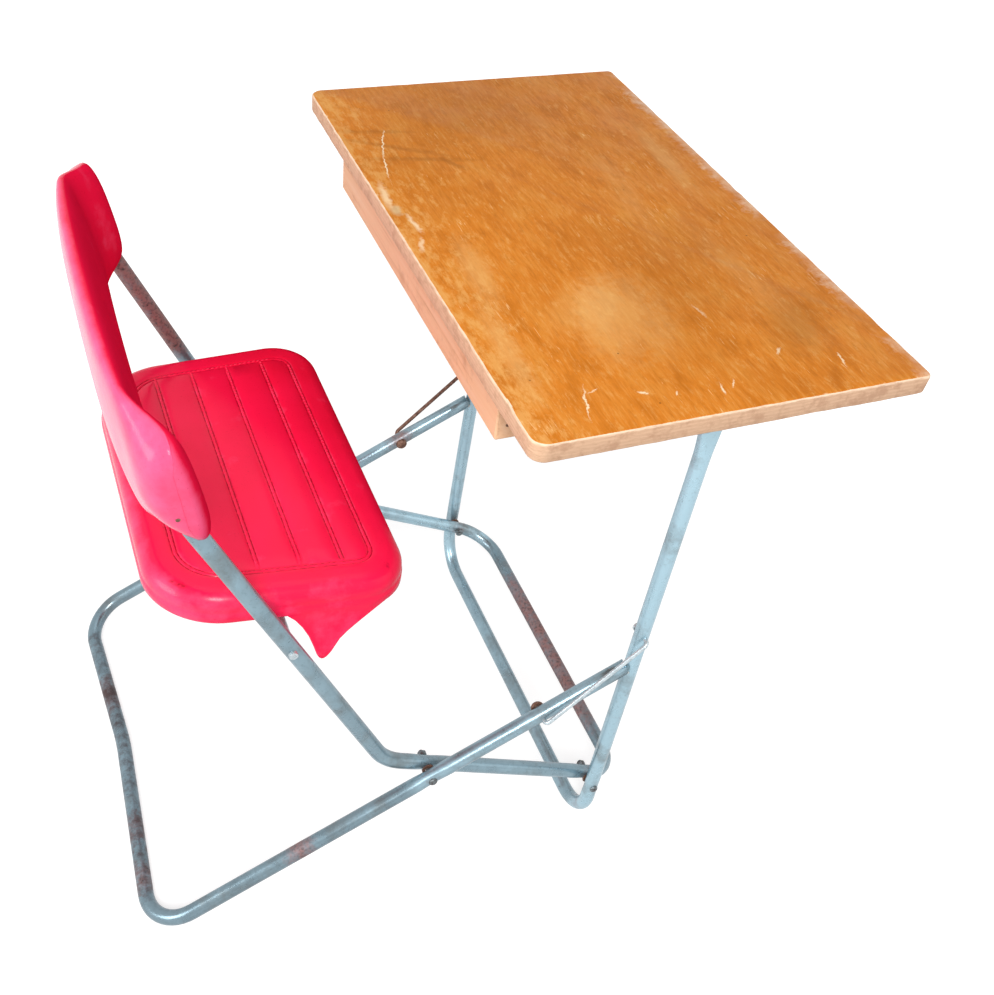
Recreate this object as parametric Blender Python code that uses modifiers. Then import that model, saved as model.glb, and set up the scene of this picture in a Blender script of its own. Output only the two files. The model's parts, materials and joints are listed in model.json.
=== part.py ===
"""Folding children's desk: a seat and a desk top on three U-bent steel tubes.

The seat frame carries the seat and backrest. The rear frame and the desk frame are hinged on
its stretchers, and a wire link each side joins them, so the whole folds flat.
Metres, +X the way the child looks, +Y the child's left, +Z up, floor at z = 0.
"""
import bpy
import bmesh
import math
from mathutils import Matrix, Vector

COLLECTION_NAME = "folding_childrens_desk"
CUTTER_COLLECTION_NAME = "cutters"
SIDES = (("right", -1.0), ("left", 1.0))

# Clearances
SEAT_GAP = 0.0003          # between pieces that touch
BORE_GAP = 0.0003          # a pin in its hole, on the radius
PLUG_GAP = 0.0008          # a plug in a tube's bore, on the radius
CUT_MARGIN = 0.004         # how far a cutter runs past what it cuts
MERGE_DISTANCE = 0.00001

# Smoothness
TUBE_BEVEL_RESOLUTION = 4
WIRE_BEVEL_RESOLUTION = 2
BEND_STEPS = 6
TURN_STEPS = 12
HOLE_STEPS = 16
EDGE_STEPS = 2
CORNER_STEPS = 5
SEAT_EDGE_STEPS = 4
ROUND_PROFILE = 0.5        # a circular bevel
SHARP_ANGLE = math.radians(35)
SQUARE_EDGE_ANGLE = math.radians(60)

# Tubes
TUBE_D = 0.016
TUBE_WALL = 0.0015
FRAME_GAP = 0.002          # between the seat frame and the frames outside it
SEAT_FRAME_HALF = 0.2085   # tube axis to the middle plane
FOOT_BEND_R = 0.045
SIDE_BEND_R = 0.060

# Rear frame
REAR_REACH = 0.486         # rear bar behind the desk frame's foot bar
ARM_RISE = math.radians(29.2)
REAR_BAR_BOW = 0.011       # forward bow in the middle of the worn bar
REAR_BAR_BOW_R = 1.1
ARM_LIP = 0.0025           # thickness of the saddle plug's lip
ARM_PLUG_DEPTH = 0.030

# Desk frame
LEG_LEAN = math.radians(0.6)
LEG_FLAT_THICK = 0.009     # flattened leg top
LEG_FLAT_WIDTH = 0.021
LEG_FLAT_LENGTH = 0.050
LEG_FLAT_BLEND = 0.035
LEG_END_PAST_PIVOT = 0.013
LEG_BLEND_RINGS = 4

# Seat frame
FRONT_BAR_AHEAD = 0.0466
FRONT_BAR_HEIGHT = 0.0524
STRETCHER_RISE = math.radians(24.7)
STRETCHER_LENGTH = 0.3237
UPRIGHT_RAKE = math.radians(27.1)

# Desk top
TOP_WIDTH = 0.600
TOP_DEPTH = 0.352
TOP_THICK = 0.018
TOP_SLOPE = math.radians(2.43)
TOP_NEAR_EDGE_BEHIND = 0.204   # near edge of the surface behind the foot bar
TOP_NEAR_EDGE_HEIGHT = 0.656
TOP_CORNER_R = 0.006
TOP_EDGE_ROUND = 0.002
APRON_LENGTH = 0.424
APRON_THICK = 0.020
APRON_HEIGHT = 0.048
APRON_SETBACK = 0.011
RAIL_THICK = 0.020
RAIL_HEIGHT = 0.036
RAIL_FAR_SETBACK = 0.050
WOOD_EDGE_ROUND = 0.0015
PIVOT_DROP = 0.023             # desk pivot below the board's underside
PEG_DROP = 0.026               # stop peg below the desk pivot, along the leg
PEG_R = 0.004
PEG_SHANK_R = 0.003

# Seat
SEAT_FRONT_HALF = 0.192
SEAT_REAR_HALF = 0.171
SEAT_DEPTH = 0.227
SEAT_AHEAD = 0.1386            # front edge ahead of the uprights' axis, at seat height
SEAT_TOP_HEIGHT = 0.4245
SEAT_RIM = 0.028
SEAT_WALL = 0.004
SEAT_EDGE_R = 0.014
SEAT_FRONT_CORNER_R = 0.050
SEAT_REAR_CORNER_R = 0.064
LUG_DROP = 0.076               # lug tip below the seat's top
LUG_TIP_LENGTH = 0.010
LUG_TIP_WIDTH = 0.018
LUG_ROOT_LENGTH = 0.074
LUG_ROOT_WIDTH = 0.022
LUG_LAP = 0.0055               # how far the tip laps over the upright's inner side
RIB_THICK = 0.006
RIB_ROOT_LENGTH = 0.070
RIB_FOOT_LENGTH = 0.028
RIB_SPACING = 0.240
RIB_BELOW_ROD = 0.010
ROD_DROP = 0.0392              # seat rod below the seat's top
ROD_R = 0.004
ROD_CAP_R = 0.0065
ROD_CAP_THICK = 0.005
ROD_CAP_FLAT_R = 0.0039
ROD_CAP_EDGE = 0.0025

# Backrest: a band with a wing at each end, and a turn between the two sections
BACK_BOTTOM = 0.5208
BACK_TOP = 0.645
BACK_LEAN = math.radians(14.2)
BACK_SETBACK = 0.0131          # front face behind the uprights' axis, at the bottom edge
BACK_LOW_THICK = 0.0323
BACK_HIGH_THICK = 0.0238
BACK_SOCKET_DEPTH = 0.0627     # how far up the uprights reach inside it
WING_AHEAD = 0.014             # wing's front ahead of the uprights' axis, at the bottom edge
WING_LEAN = math.radians(12.0)
WING_LOW_THICK = 0.0572
WING_HIGH_THICK = 0.0441
WING_DROP = 0.0043             # wing's top below the band's
WING_SHOULDER = 0.0258         # how much further its top falls to the rear
WING_CUT = 0.046               # how far its rear corner is cut up
WING_TURN = 0.0645             # length of the turn, along Y
WING_TURN_PAST = 0.003         # the turn's end outside the uprights' axes
WING_END_R = 0.013
WING_WALL = 0.006              # plastic outside the upright
BACK_ROUNDNESS = 3.4
BACK_CELLS = (24, 8, 4)
BACK_SCREW_ABOVE = 0.0452      # screw above the bottom edge
BACK_SCREW_R = 0.002
BACK_SCREW_HEAD_R = 0.0038
BACK_SCREW_HEAD = 0.0022

# Fasteners and links
PIVOT_BOLT_R = 0.003
PIVOT_HEAD_R = 0.0056
PIVOT_HEAD = 0.004
PIVOT_HEAD_FLAT_R = 0.0034
PIVOT_HEAD_EDGE = 0.0022
NUT_R = 0.0056
NUT_SIDES = 6
NUT_THICK = 0.005
BOLT_PAST_NUT = 0.0015
WASHER_R = 0.0065
WIRE_D = 0.005
WIRE_STAND_OFF = 0.006         # wire axis outside the arm's outer face
WIRE_BEND_R = 0.005
WIRE_CAP_R = 0.0068
WIRE_CAP_THICK = 0.0055
WIRE_CAP_EDGE = 0.0022
WIRE_CAP_SHOULDER_R = 0.0048
WIRE_CAP_SHOULDER = 0.0047
WIRE_IN_CAP = 0.0025
LINK_ON_ARM = 0.128            # link pin from the rear pivot, along the arm
LINK_ON_LEG = 0.250            # link pin from the front pivot, along the leg
STUD_NUB_R = 0.0048
STUD_NUB = 0.004
STUD_CHAMFER = 0.0013

# Sizes that follow from these
TUBE_R = TUBE_D / 2
OUTER_HALF = SEAT_FRAME_HALF + TUBE_D + FRAME_GAP
SADDLE_REACH = 2 * TUBE_D                                 # the saddle's cut, up and down the leg
WASHER_THICK = FRAME_GAP - 2 * SEAT_GAP
WIRE_R = WIRE_D / 2
BACK_HALF = SEAT_FRAME_HALF + TUBE_R + WING_WALL
WING_TURN_FROM = SEAT_FRAME_HALF + WING_TURN_PAST - WING_TURN
TOP_FAR_EDGE = TOP_DEPTH * math.cos(TOP_SLOPE) + TOP_THICK * math.sin(TOP_SLOPE) - TOP_NEAR_EDGE_BEHIND
REAR_BAR_LOSS = FOOT_BEND_R * REAR_BAR_BOW / OUTER_HALF   # the bowed bar stops short of its corners
FOOT_X = (REAR_REACH - REAR_BAR_LOSS + TUBE_R - TOP_FAR_EDGE) / 2


def side_point(x, z):
    """A point in the middle plane, with x counted from the desk frame's foot bar."""
    return Vector((FOOT_X + x, 0.0, z))


def direction(angle):
    """A unit vector in the side view, with the angle counted up from +X."""
    return Vector((math.cos(angle), 0.0, math.sin(angle)))


def meet(point_a, direction_a, point_b, direction_b):
    """Where two lines of the side view cross."""
    gap = point_b - point_a
    turn = direction_a.x * direction_b.z - direction_a.z * direction_b.x
    run = (gap.x * direction_b.z - gap.z * direction_b.x) / turn
    return point_a + direction_a * run


def at_side(point, y):
    """The same point of the side view, moved out to y."""
    return Vector((point.x, y, point.z))


def eased(share):
    """A share held between 0 and 1, with a soft start and end."""
    share = min(max(share, 0.0), 1.0)
    return share * share * (3.0 - 2.0 * share)


def between(start, end, share):
    return start + (end - start) * share


# The frames' lines in the side view
ARM_DIRECTION = direction(ARM_RISE)
LEG_DIRECTION = direction(math.pi / 2 - LEG_LEAN)
ACROSS_LEG = direction(-LEG_LEAN)
STRETCHER_DIRECTION = direction(math.pi - STRETCHER_RISE)
UPRIGHT_DIRECTION = direction(math.pi / 2 + UPRIGHT_RAKE)
REAR_BAR = side_point(-REAR_REACH, TUBE_R)
FOOT_BAR = side_point(0.0, TUBE_R)
FRONT_BAR = side_point(FRONT_BAR_AHEAD, FRONT_BAR_HEIGHT)
BEND = FRONT_BAR + STRETCHER_DIRECTION * STRETCHER_LENGTH
REAR_PIVOT = meet(REAR_BAR, ARM_DIRECTION, FRONT_BAR, STRETCHER_DIRECTION)
FRONT_PIVOT = meet(FOOT_BAR, LEG_DIRECTION, FRONT_BAR, STRETCHER_DIRECTION)
ARM_ON_LEG = meet(REAR_BAR, ARM_DIRECTION, FOOT_BAR, LEG_DIRECTION)
ARM_PIN = REAR_PIVOT + ARM_DIRECTION * LINK_ON_ARM
LEG_PIN = FRONT_PIVOT + LEG_DIRECTION * LINK_ON_LEG


def upright_at(z):
    """The uprights' axis at a height, in the middle plane."""
    return BEND + UPRIGHT_DIRECTION * ((z - BEND.z) / UPRIGHT_DIRECTION.z)


# What hangs on the uprights
UPRIGHT_TOP = upright_at(BACK_BOTTOM + BACK_SOCKET_DEPTH)
SEAT_ROD = upright_at(SEAT_TOP_HEIGHT - ROD_DROP)
BACK_SCREW = upright_at(BACK_BOTTOM + BACK_SCREW_ABOVE)
SEAT_FRONT = upright_at(SEAT_TOP_HEIGHT).x + SEAT_AHEAD
BACK_FRONT = upright_at(BACK_BOTTOM).x - BACK_SETBACK
WING_FRONT = upright_at(BACK_BOTTOM).x + WING_AHEAD

# The board's own axes in the side view
BOARD_ALONG = direction(TOP_SLOPE)
BOARD_UP = direction(math.pi / 2 + TOP_SLOPE)
BOARD_NEAR_TOP = side_point(-TOP_NEAR_EDGE_BEHIND, TOP_NEAR_EDGE_HEIGHT)
BOARD_NEAR_BOTTOM = BOARD_NEAR_TOP - BOARD_UP * TOP_THICK
DESK_PIVOT = meet(FOOT_BAR, LEG_DIRECTION, BOARD_NEAR_BOTTOM - BOARD_UP * PIVOT_DROP, BOARD_ALONG)
LEG_LENGTH = (DESK_PIVOT - FOOT_BAR).length + LEG_END_PAST_PIVOT
RAIL_OUTER = OUTER_HALF - TUBE_R - SEAT_GAP


def clear_scene():
    for obj in list(bpy.data.objects):
        bpy.data.objects.remove(obj, do_unlink=True)


def new_collection(name):
    collection = bpy.data.collections.new(name)
    bpy.context.scene.collection.children.link(collection)
    return collection


def finish(name, colour, roughness, metallic):
    """A plain Principled material."""
    material = bpy.data.materials.new(name)
    material.use_nodes = True
    shader = material.node_tree.nodes["Principled BSDF"]
    shader.inputs["Base Color"].default_value = (*colour, 1.0)
    shader.inputs["Roughness"].default_value = roughness
    shader.inputs["Metallic"].default_value = metallic
    return material


FINISHES = {
    "zinc": ((0.36, 0.43, 0.46), 0.42, 0.9),
    "steel": ((0.48, 0.50, 0.50), 0.35, 1.0),
    "rust": ((0.20, 0.10, 0.06), 0.80, 0.3),
    "red_plastic": ((0.75, 0.02, 0.06), 0.32, 0.0),
    "pale_plastic": ((0.78, 0.77, 0.72), 0.50, 0.0),
    "varnished_board": ((0.58, 0.27, 0.05), 0.35, 0.0),
    "bare_wood": ((0.62, 0.36, 0.20), 0.65, 0.0),
}


def place(obj, finish_name, parent=None):
    """Put a finished piece in the object's collection with its own material."""
    parts.objects.link(obj)
    obj.data.materials.clear()
    obj.data.materials.append(finish(obj.name, *FINISHES[finish_name]))
    if parent:
        obj.parent = parent
        obj.matrix_parent_inverse = parent.matrix_world.inverted()
    return obj


def place_cutter(obj):
    cutters.objects.link(obj)
    obj.hide_render = True
    obj.display_type = "WIRE"
    return obj


def axis_empty(name, point):
    """An empty on a joint's axis, which the moving pieces hang from."""
    empty = bpy.data.objects.new(name, None)
    empty.location = point
    parts.objects.link(empty)
    bpy.context.view_layer.update()
    return empty


def boolean(obj, tool, operation):
    modifier = obj.modifiers.new(tool.name, "BOOLEAN")
    modifier.object = tool
    modifier.operation = operation
    modifier.solver = "EXACT"


def smooth(mesh):
    mesh.shade_smooth()
    mesh.set_sharp_from_angle(angle=SHARP_ANGLE)


def object_from_bmesh(name, bm):
    bmesh.ops.recalc_face_normals(bm, faces=bm.faces)
    mesh = bpy.data.meshes.new(name)
    bm.to_mesh(mesh)
    bm.free()
    return bpy.data.objects.new(name, mesh)


def rod_mesh_object(name, start, end, radius, steps=HOLE_STEPS):
    """A plain round bar between two points."""
    bm = bmesh.new()
    length = (end - start).length
    bmesh.ops.create_cone(bm, cap_ends=True, segments=steps, radius1=radius, radius2=radius, depth=length)
    turn = (end - start).to_track_quat("Z", "Y").to_matrix().to_4x4()
    bmesh.ops.transform(bm, matrix=Matrix.Translation((start + end) / 2) @ turn, verts=bm.verts)
    return object_from_bmesh(name, bm)


def drill(obj, name, start, end, radius):
    """Cut a round hole through a piece."""
    cutter = place_cutter(rod_mesh_object(f"{obj.name}_{name}", start, end, radius))
    boolean(obj, cutter, "DIFFERENCE")


def cross_hole(obj, name, point, y_from, y_to, pin_radius):
    """Cut a hole along Y for a pin."""
    drill(obj, name, at_side(point, y_from), at_side(point, y_to), pin_radius + BORE_GAP)


def turned(name, profile, point, side, steps=TURN_STEPS):
    """A turned piece on a Y axis: the profile is (radius, distance outwards), outer end first."""
    bm = bmesh.new()
    rim = [bm.verts.new((radius, 0.0, out)) for radius, out in profile]
    for first, second in zip(rim, rim[1:]):
        bm.edges.new((first, second))
    if profile[0][0] > 0:
        bm.edges.new((rim[-1], rim[0]))
    mesh = bpy.data.meshes.new(name)
    bm.to_mesh(mesh)
    bm.free()
    obj = bpy.data.objects.new(name, mesh)
    obj.location = point
    obj.rotation_euler.x = -side * math.pi / 2
    screw = obj.modifiers.new("turn", "SCREW")
    screw.steps = steps
    screw.render_steps = steps
    screw.use_merge_vertices = True
    screw.merge_threshold = MERGE_DISTANCE
    return obj


def rounded_path(points, radii):
    """The points of a bent path, with an arc at each inner corner."""
    path = [points[0]]
    for before, corner, after, radius in zip(points, points[1:], points[2:], radii):
        towards = (before - corner).normalized()
        onwards = (after - corner).normalized()
        half = towards.angle(onwards) / 2
        middle = corner + (towards + onwards).normalized() * (radius / math.sin(half))
        start = corner + towards * (radius / math.tan(half))
        end = corner + onwards * (radius / math.tan(half))
        first = start - middle
        sweep = first.angle(end - middle)
        normal = first.cross(end - middle).normalized()
        for step in range(BEND_STEPS + 1):
            turn = Matrix.Rotation(sweep * step / BEND_STEPS, 3, normal)
            path.append(middle + turn @ first)
    path.append(points[-1])
    return path


def swept_curve(name, path, radius, resolution, caps):
    """A round bar or tube skin along a path."""
    curve = bpy.data.curves.new(name, "CURVE")
    curve.dimensions = "3D"
    curve.bevel_depth = radius
    curve.bevel_resolution = resolution
    curve.use_fill_caps = caps
    spline = curve.splines.new("POLY")
    spline.points.add(len(path) - 1)
    for control, point in zip(spline.points, path):
        control.co = (*point, 1.0)
    return bpy.data.objects.new(name, curve)


def mesh_of_curve(curve_object):
    """Turn a curve object into a mesh object of the same name."""
    name = curve_object.name
    bpy.context.scene.collection.objects.link(curve_object)
    graph = bpy.context.evaluated_depsgraph_get()
    mesh = bpy.data.meshes.new_from_object(curve_object.evaluated_get(graph))
    matrix = curve_object.matrix_world.copy()
    bpy.data.objects.remove(curve_object, do_unlink=True)
    bm = bmesh.new()
    bm.from_mesh(mesh)
    bmesh.ops.remove_doubles(bm, verts=bm.verts, dist=MERGE_DISTANCE)
    bm.to_mesh(mesh)
    bm.free()
    obj = bpy.data.objects.new(name, mesh)
    obj.matrix_world = matrix
    return obj


def hollow_tube(name, path):
    """A steel tube with open ends, ready to be drilled."""
    obj = mesh_of_curve(swept_curve(name, path, TUBE_R, TUBE_BEVEL_RESOLUTION, False))
    wall = obj.modifiers.new("wall", "SOLIDIFY")
    wall.thickness = TUBE_WALL
    wall.offset = -1.0
    wall.use_even_offset = True
    return obj


def frame_path(half, ends, inner, radii):
    """A U of tube: from the right end through its corners, mirrored to the left end."""
    right = [at_side(point, -half) for point in ends]
    left = [at_side(point, half) for point in reversed(ends)]
    return rounded_path(right + inner + left, radii)


def rear_frame():
    bar_bow = REAR_BAR + Vector((REAR_BAR_BOW, 0.0, 0.0))
    radii = [FOOT_BEND_R, REAR_BAR_BOW_R, FOOT_BEND_R]
    path = frame_path(OUTER_HALF, [ARM_ON_LEG, REAR_BAR], [bar_bow], radii)
    tube = hollow_tube("rear_frame_tube", path)
    place(tube, "zinc", rear_axis)
    for side_name, side in SIDES:
        leg_from = at_side(ARM_ON_LEG - LEG_DIRECTION * SADDLE_REACH, side * OUTER_HALF)
        leg_to = at_side(ARM_ON_LEG + LEG_DIRECTION * SADDLE_REACH, side * OUTER_HALF)
        drill(tube, f"saddle_{side_name}", leg_from, leg_to, TUBE_R + ARM_LIP)
        reach = side * (OUTER_HALF + TUBE_D)
        middle = side * SEAT_FRAME_HALF
        cross_hole(tube, f"rear_pivot_{side_name}", REAR_PIVOT, middle, reach, PIVOT_BOLT_R)
        cross_hole(tube, f"link_pin_{side_name}", ARM_PIN, middle, reach, WIRE_R)
        arm_end_plug(side_name, side)


def arm_end_plug(side_name, side):
    """The pale saddle in an arm's end: a lip against the leg and a stem inside the tube."""
    y = side * OUTER_HALF
    axis_point = at_side(ARM_ON_LEG, y)
    name = f"arm_end_plug_{side_name}"
    lip_start = axis_point - ARM_DIRECTION * (TUBE_D + ARM_LIP * 2)
    stem_start = axis_point - ARM_DIRECTION * (TUBE_D + ARM_PLUG_DEPTH)
    stem_end = axis_point - ARM_DIRECTION * TUBE_R
    plug = rod_mesh_object(name, lip_start, stem_end, TUBE_R)
    leg_from = at_side(ARM_ON_LEG - LEG_DIRECTION * SADDLE_REACH, y)
    leg_to = at_side(ARM_ON_LEG + LEG_DIRECTION * SADDLE_REACH, y)
    lip_radius = TUBE_R + ARM_LIP - SEAT_GAP
    lip = place_cutter(rod_mesh_object(f"{name}_lip", leg_from, leg_to, lip_radius))
    boolean(plug, lip, "INTERSECT")
    stem_radius = TUBE_R - TUBE_WALL - PLUG_GAP
    stem = place_cutter(rod_mesh_object(f"{name}_stem", stem_start, stem_end, stem_radius))
    boolean(plug, stem, "UNION")
    drill(plug, "leg", leg_from, leg_to, TUBE_R + SEAT_GAP)
    place(plug, "pale_plastic", rear_axis)


def flatten_leg_tops(tube):
    """Press the tops of the legs flat, with their inner faces kept in line."""
    inner = OUTER_HALF - TUBE_R
    for vertex in tube.data.vertices:
        point = vertex.co
        up = (point - FOOT_BAR).dot(LEG_DIRECTION)
        below_end = LEG_LENGTH - up
        press = 1.0 - eased((below_end - LEG_FLAT_LENGTH) / LEG_FLAT_BLEND)
        axis_point = FOOT_BAR + LEG_DIRECTION * up
        across = (point - axis_point).dot(ACROSS_LEG)
        widen = 1.0 + (LEG_FLAT_WIDTH / TUBE_D - 1.0) * press
        thin = 1.0 + (LEG_FLAT_THICK / TUBE_D - 1.0) * press
        side = math.copysign(1.0, point.y)
        y = side * (inner + (abs(point.y) - inner) * thin)
        if up > TUBE_D:
            vertex.co = at_side(axis_point + ACROSS_LEG * across * widen, y)


def desk_frame():
    leg_end = FOOT_BAR + LEG_DIRECTION * LEG_LENGTH
    flat_from = LEG_LENGTH - LEG_FLAT_LENGTH - LEG_FLAT_BLEND
    rings = [flat_from + LEG_FLAT_BLEND * ring / LEG_BLEND_RINGS for ring in range(LEG_BLEND_RINGS + 1)]
    top_points = [leg_end] + [FOOT_BAR + LEG_DIRECTION * ring for ring in reversed(rings)]
    corners = rounded_path([at_side(top_points[-1], -OUTER_HALF), at_side(FOOT_BAR, -OUTER_HALF),
                            at_side(FOOT_BAR, OUTER_HALF), at_side(top_points[-1], OUTER_HALF)],
                           [FOOT_BEND_R, FOOT_BEND_R])
    right = [at_side(point, -OUTER_HALF) for point in top_points[:-1]]
    left = [at_side(point, OUTER_HALF) for point in reversed(top_points[:-1])]
    tube = hollow_tube("desk_frame_tube", right + corners + left)
    flatten_leg_tops(tube)
    place(tube, "zinc", front_axis)
    for side_name, side in SIDES:
        reach = side * (OUTER_HALF + TUBE_D)
        middle = side * SEAT_FRAME_HALF
        cross_hole(tube, f"front_pivot_{side_name}", FRONT_PIVOT, middle, reach, PIVOT_BOLT_R)
        cross_hole(tube, f"link_pin_{side_name}", LEG_PIN, middle, reach, WIRE_R)
        cross_hole(tube, f"desk_pivot_{side_name}", DESK_PIVOT, middle, reach, PIVOT_BOLT_R)
        link_stud(side_name, side)


def link_stud(side_name, side):
    """The pin in the leg that the wire link ends on, with a nub on the inner side."""
    inner = -TUBE_D - SEAT_GAP
    profile = [(0.0, 0.0), (WIRE_R, 0.0), (WIRE_R, inner), (STUD_NUB_R, inner),
               (STUD_NUB_R, inner - STUD_NUB + STUD_CHAMFER), (STUD_NUB_R - STUD_CHAMFER, inner - STUD_NUB),
               (0.0, inner - STUD_NUB)]
    outer_face = at_side(LEG_PIN, side * (OUTER_HALF + TUBE_R))
    place(turned(f"link_stud_{side_name}", profile, outer_face, side), "rust", front_axis)


def seat_frame():
    radii = [SIDE_BEND_R, FOOT_BEND_R, FOOT_BEND_R, SIDE_BEND_R]
    path = frame_path(SEAT_FRAME_HALF, [UPRIGHT_TOP, BEND, FRONT_BAR], [], radii)
    tube = hollow_tube("seat_frame_tube", path)
    place(tube, "zinc")
    for side_name, side in SIDES:
        inside = side * (SEAT_FRAME_HALF - TUBE_D)
        outside = side * (SEAT_FRAME_HALF + TUBE_D)
        cross_hole(tube, f"rear_pivot_{side_name}", REAR_PIVOT, inside, outside, PIVOT_BOLT_R)
        cross_hole(tube, f"front_pivot_{side_name}", FRONT_PIVOT, inside, outside, PIVOT_BOLT_R)
        cross_hole(tube, f"seat_rod_{side_name}", SEAT_ROD, inside, outside, ROD_R)
        middle = side * SEAT_FRAME_HALF
        cross_hole(tube, f"back_screw_{side_name}", BACK_SCREW, middle, outside, BACK_SCREW_R)


def pivot_bolt(name, point, side, stack, outer_face, parent=None):
    """A round-headed bolt through a stack of parts, with its head outside, and its nut inside."""
    head = SEAT_GAP + PIVOT_HEAD
    nut_out = -stack - SEAT_GAP
    tip = nut_out - NUT_THICK - BOLT_PAST_NUT
    profile = [(0.0, head), (PIVOT_HEAD_FLAT_R, head), (PIVOT_HEAD_R, SEAT_GAP + PIVOT_HEAD_EDGE),
               (PIVOT_HEAD_R, SEAT_GAP), (PIVOT_BOLT_R, SEAT_GAP), (PIVOT_BOLT_R, tip), (0.0, tip)]
    where = at_side(point, side * outer_face)
    side_name = "right" if side < 0 else "left"
    place(turned(f"{name}_bolt_{side_name}", profile, where, side), "steel", parent)
    bm = bmesh.new()
    bmesh.ops.create_cone(bm, cap_ends=True, segments=NUT_SIDES, radius1=NUT_R, radius2=NUT_R,
                          depth=NUT_THICK)
    turn = Matrix.Rotation(math.pi / 2, 4, "X")
    middle = at_side(point, side * (outer_face + nut_out - NUT_THICK / 2))
    bmesh.ops.transform(bm, matrix=Matrix.Translation(middle) @ turn, verts=bm.verts)
    nut = object_from_bmesh(f"{name}_nut_{side_name}", bm)
    inside = side * (outer_face + tip - CUT_MARGIN)
    cross_hole(nut, "bore", point, inside, side * outer_face, PIVOT_BOLT_R)
    place(nut, "steel", parent)


def pivot_washer(name, point, side_name, side):
    """A washer between the seat frame and the frame outside it."""
    inner = PIVOT_BOLT_R + BORE_GAP
    profile = [(inner, WASHER_THICK), (WASHER_R, WASHER_THICK), (WASHER_R, 0.0), (inner, 0.0)]
    where = at_side(point, side * (SEAT_FRAME_HALF + TUBE_R + SEAT_GAP))
    place(turned(f"{name}_washer_{side_name}", profile, where, side), "steel")


def frame_pivots():
    stack = 2 * TUBE_D + FRAME_GAP
    for name, point in (("rear_pivot", REAR_PIVOT), ("front_pivot", FRONT_PIVOT)):
        for side_name, side in SIDES:
            pivot_bolt(name, point, side, stack, OUTER_HALF + TUBE_R)
            pivot_washer(name, point, side_name, side)


def link_wires():
    for side_name, side in SIDES:
        outer_face = OUTER_HALF + TUBE_R
        run = outer_face + WIRE_STAND_OFF
        inner_end = OUTER_HALF - TUBE_R - SEAT_GAP - WIRE_IN_CAP
        corners = [at_side(ARM_PIN, side * inner_end), at_side(ARM_PIN, side * run),
                   at_side(LEG_PIN, side * run), at_side(LEG_PIN, side * (outer_face + SEAT_GAP))]
        path = rounded_path(corners, [WIRE_BEND_R, WIRE_BEND_R])
        axis = axis_empty(f"link_axis_{side_name}", at_side(ARM_PIN, side * run))
        wire = swept_curve(f"link_wire_{side_name}", path, WIRE_R, WIRE_BEVEL_RESOLUTION, True)
        place(wire, "steel" if side < 0 else "rust", axis)
        link_cap(side_name, side)


def link_cap(side_name, side):
    """The pressed dome cap on a wire's inner end."""
    bore = WIRE_R + BORE_GAP
    seat = -SEAT_GAP
    blind = seat - WIRE_IN_CAP - SEAT_GAP
    profile = [(0.0, blind), (bore, blind), (bore, seat), (WIRE_CAP_R, seat),
               (WIRE_CAP_R, seat - WIRE_CAP_EDGE), (WIRE_CAP_SHOULDER_R, seat - WIRE_CAP_SHOULDER),
               (0.0, seat - WIRE_CAP_THICK)]
    inner_face = at_side(ARM_PIN, side * (OUTER_HALF - TUBE_R))
    place(turned(f"link_cap_{side_name}", profile, inner_face, side), "rust", rear_axis)


def board_box(name, along_from, along_to, half_from, half_to, down_from, down_to, round_edge):
    """A wooden piece squared to the board: along its depth, out from the middle and down from its top."""
    bm = bmesh.new()
    bmesh.ops.create_cube(bm, size=1.0)
    size = Vector((along_to - along_from, half_to - half_from, down_to - down_from))
    bmesh.ops.scale(bm, vec=size, verts=bm.verts)
    obj = object_from_bmesh(name, bm)
    middle = BOARD_NEAR_TOP + BOARD_ALONG * ((along_from + along_to) / 2)
    middle = middle - BOARD_UP * ((down_from + down_to) / 2)
    obj.location = at_side(middle, (half_from + half_to) / 2)
    obj.rotation_euler.y = -TOP_SLOPE
    bevel = obj.modifiers.new("edges", "BEVEL")
    bevel.width = round_edge
    bevel.segments = EDGE_STEPS
    bevel.limit_method = "ANGLE"
    return obj


def desk_top():
    bm = bmesh.new()
    bmesh.ops.create_cube(bm, size=1.0)
    bmesh.ops.scale(bm, vec=(TOP_DEPTH, TOP_WIDTH, TOP_THICK), verts=bm.verts)
    corners = [edge for edge in bm.edges if edge.verts[0].co.z * edge.verts[1].co.z < 0.0]
    bmesh.ops.bevel(bm, geom=corners, offset=TOP_CORNER_R, segments=CORNER_STEPS,
                    profile=ROUND_PROFILE, affect="EDGES")
    obj = object_from_bmesh("desk_top", bm)
    obj.location = BOARD_NEAR_TOP + BOARD_ALONG * (TOP_DEPTH / 2) - BOARD_UP * (TOP_THICK / 2)
    obj.rotation_euler.y = -TOP_SLOPE
    edges = obj.modifiers.new("edges", "BEVEL")
    edges.width = TOP_EDGE_ROUND
    edges.segments = EDGE_STEPS
    edges.limit_method = "ANGLE"
    edges.angle_limit = SQUARE_EDGE_ANGLE
    place(obj, "varnished_board", desk_axis)


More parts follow.
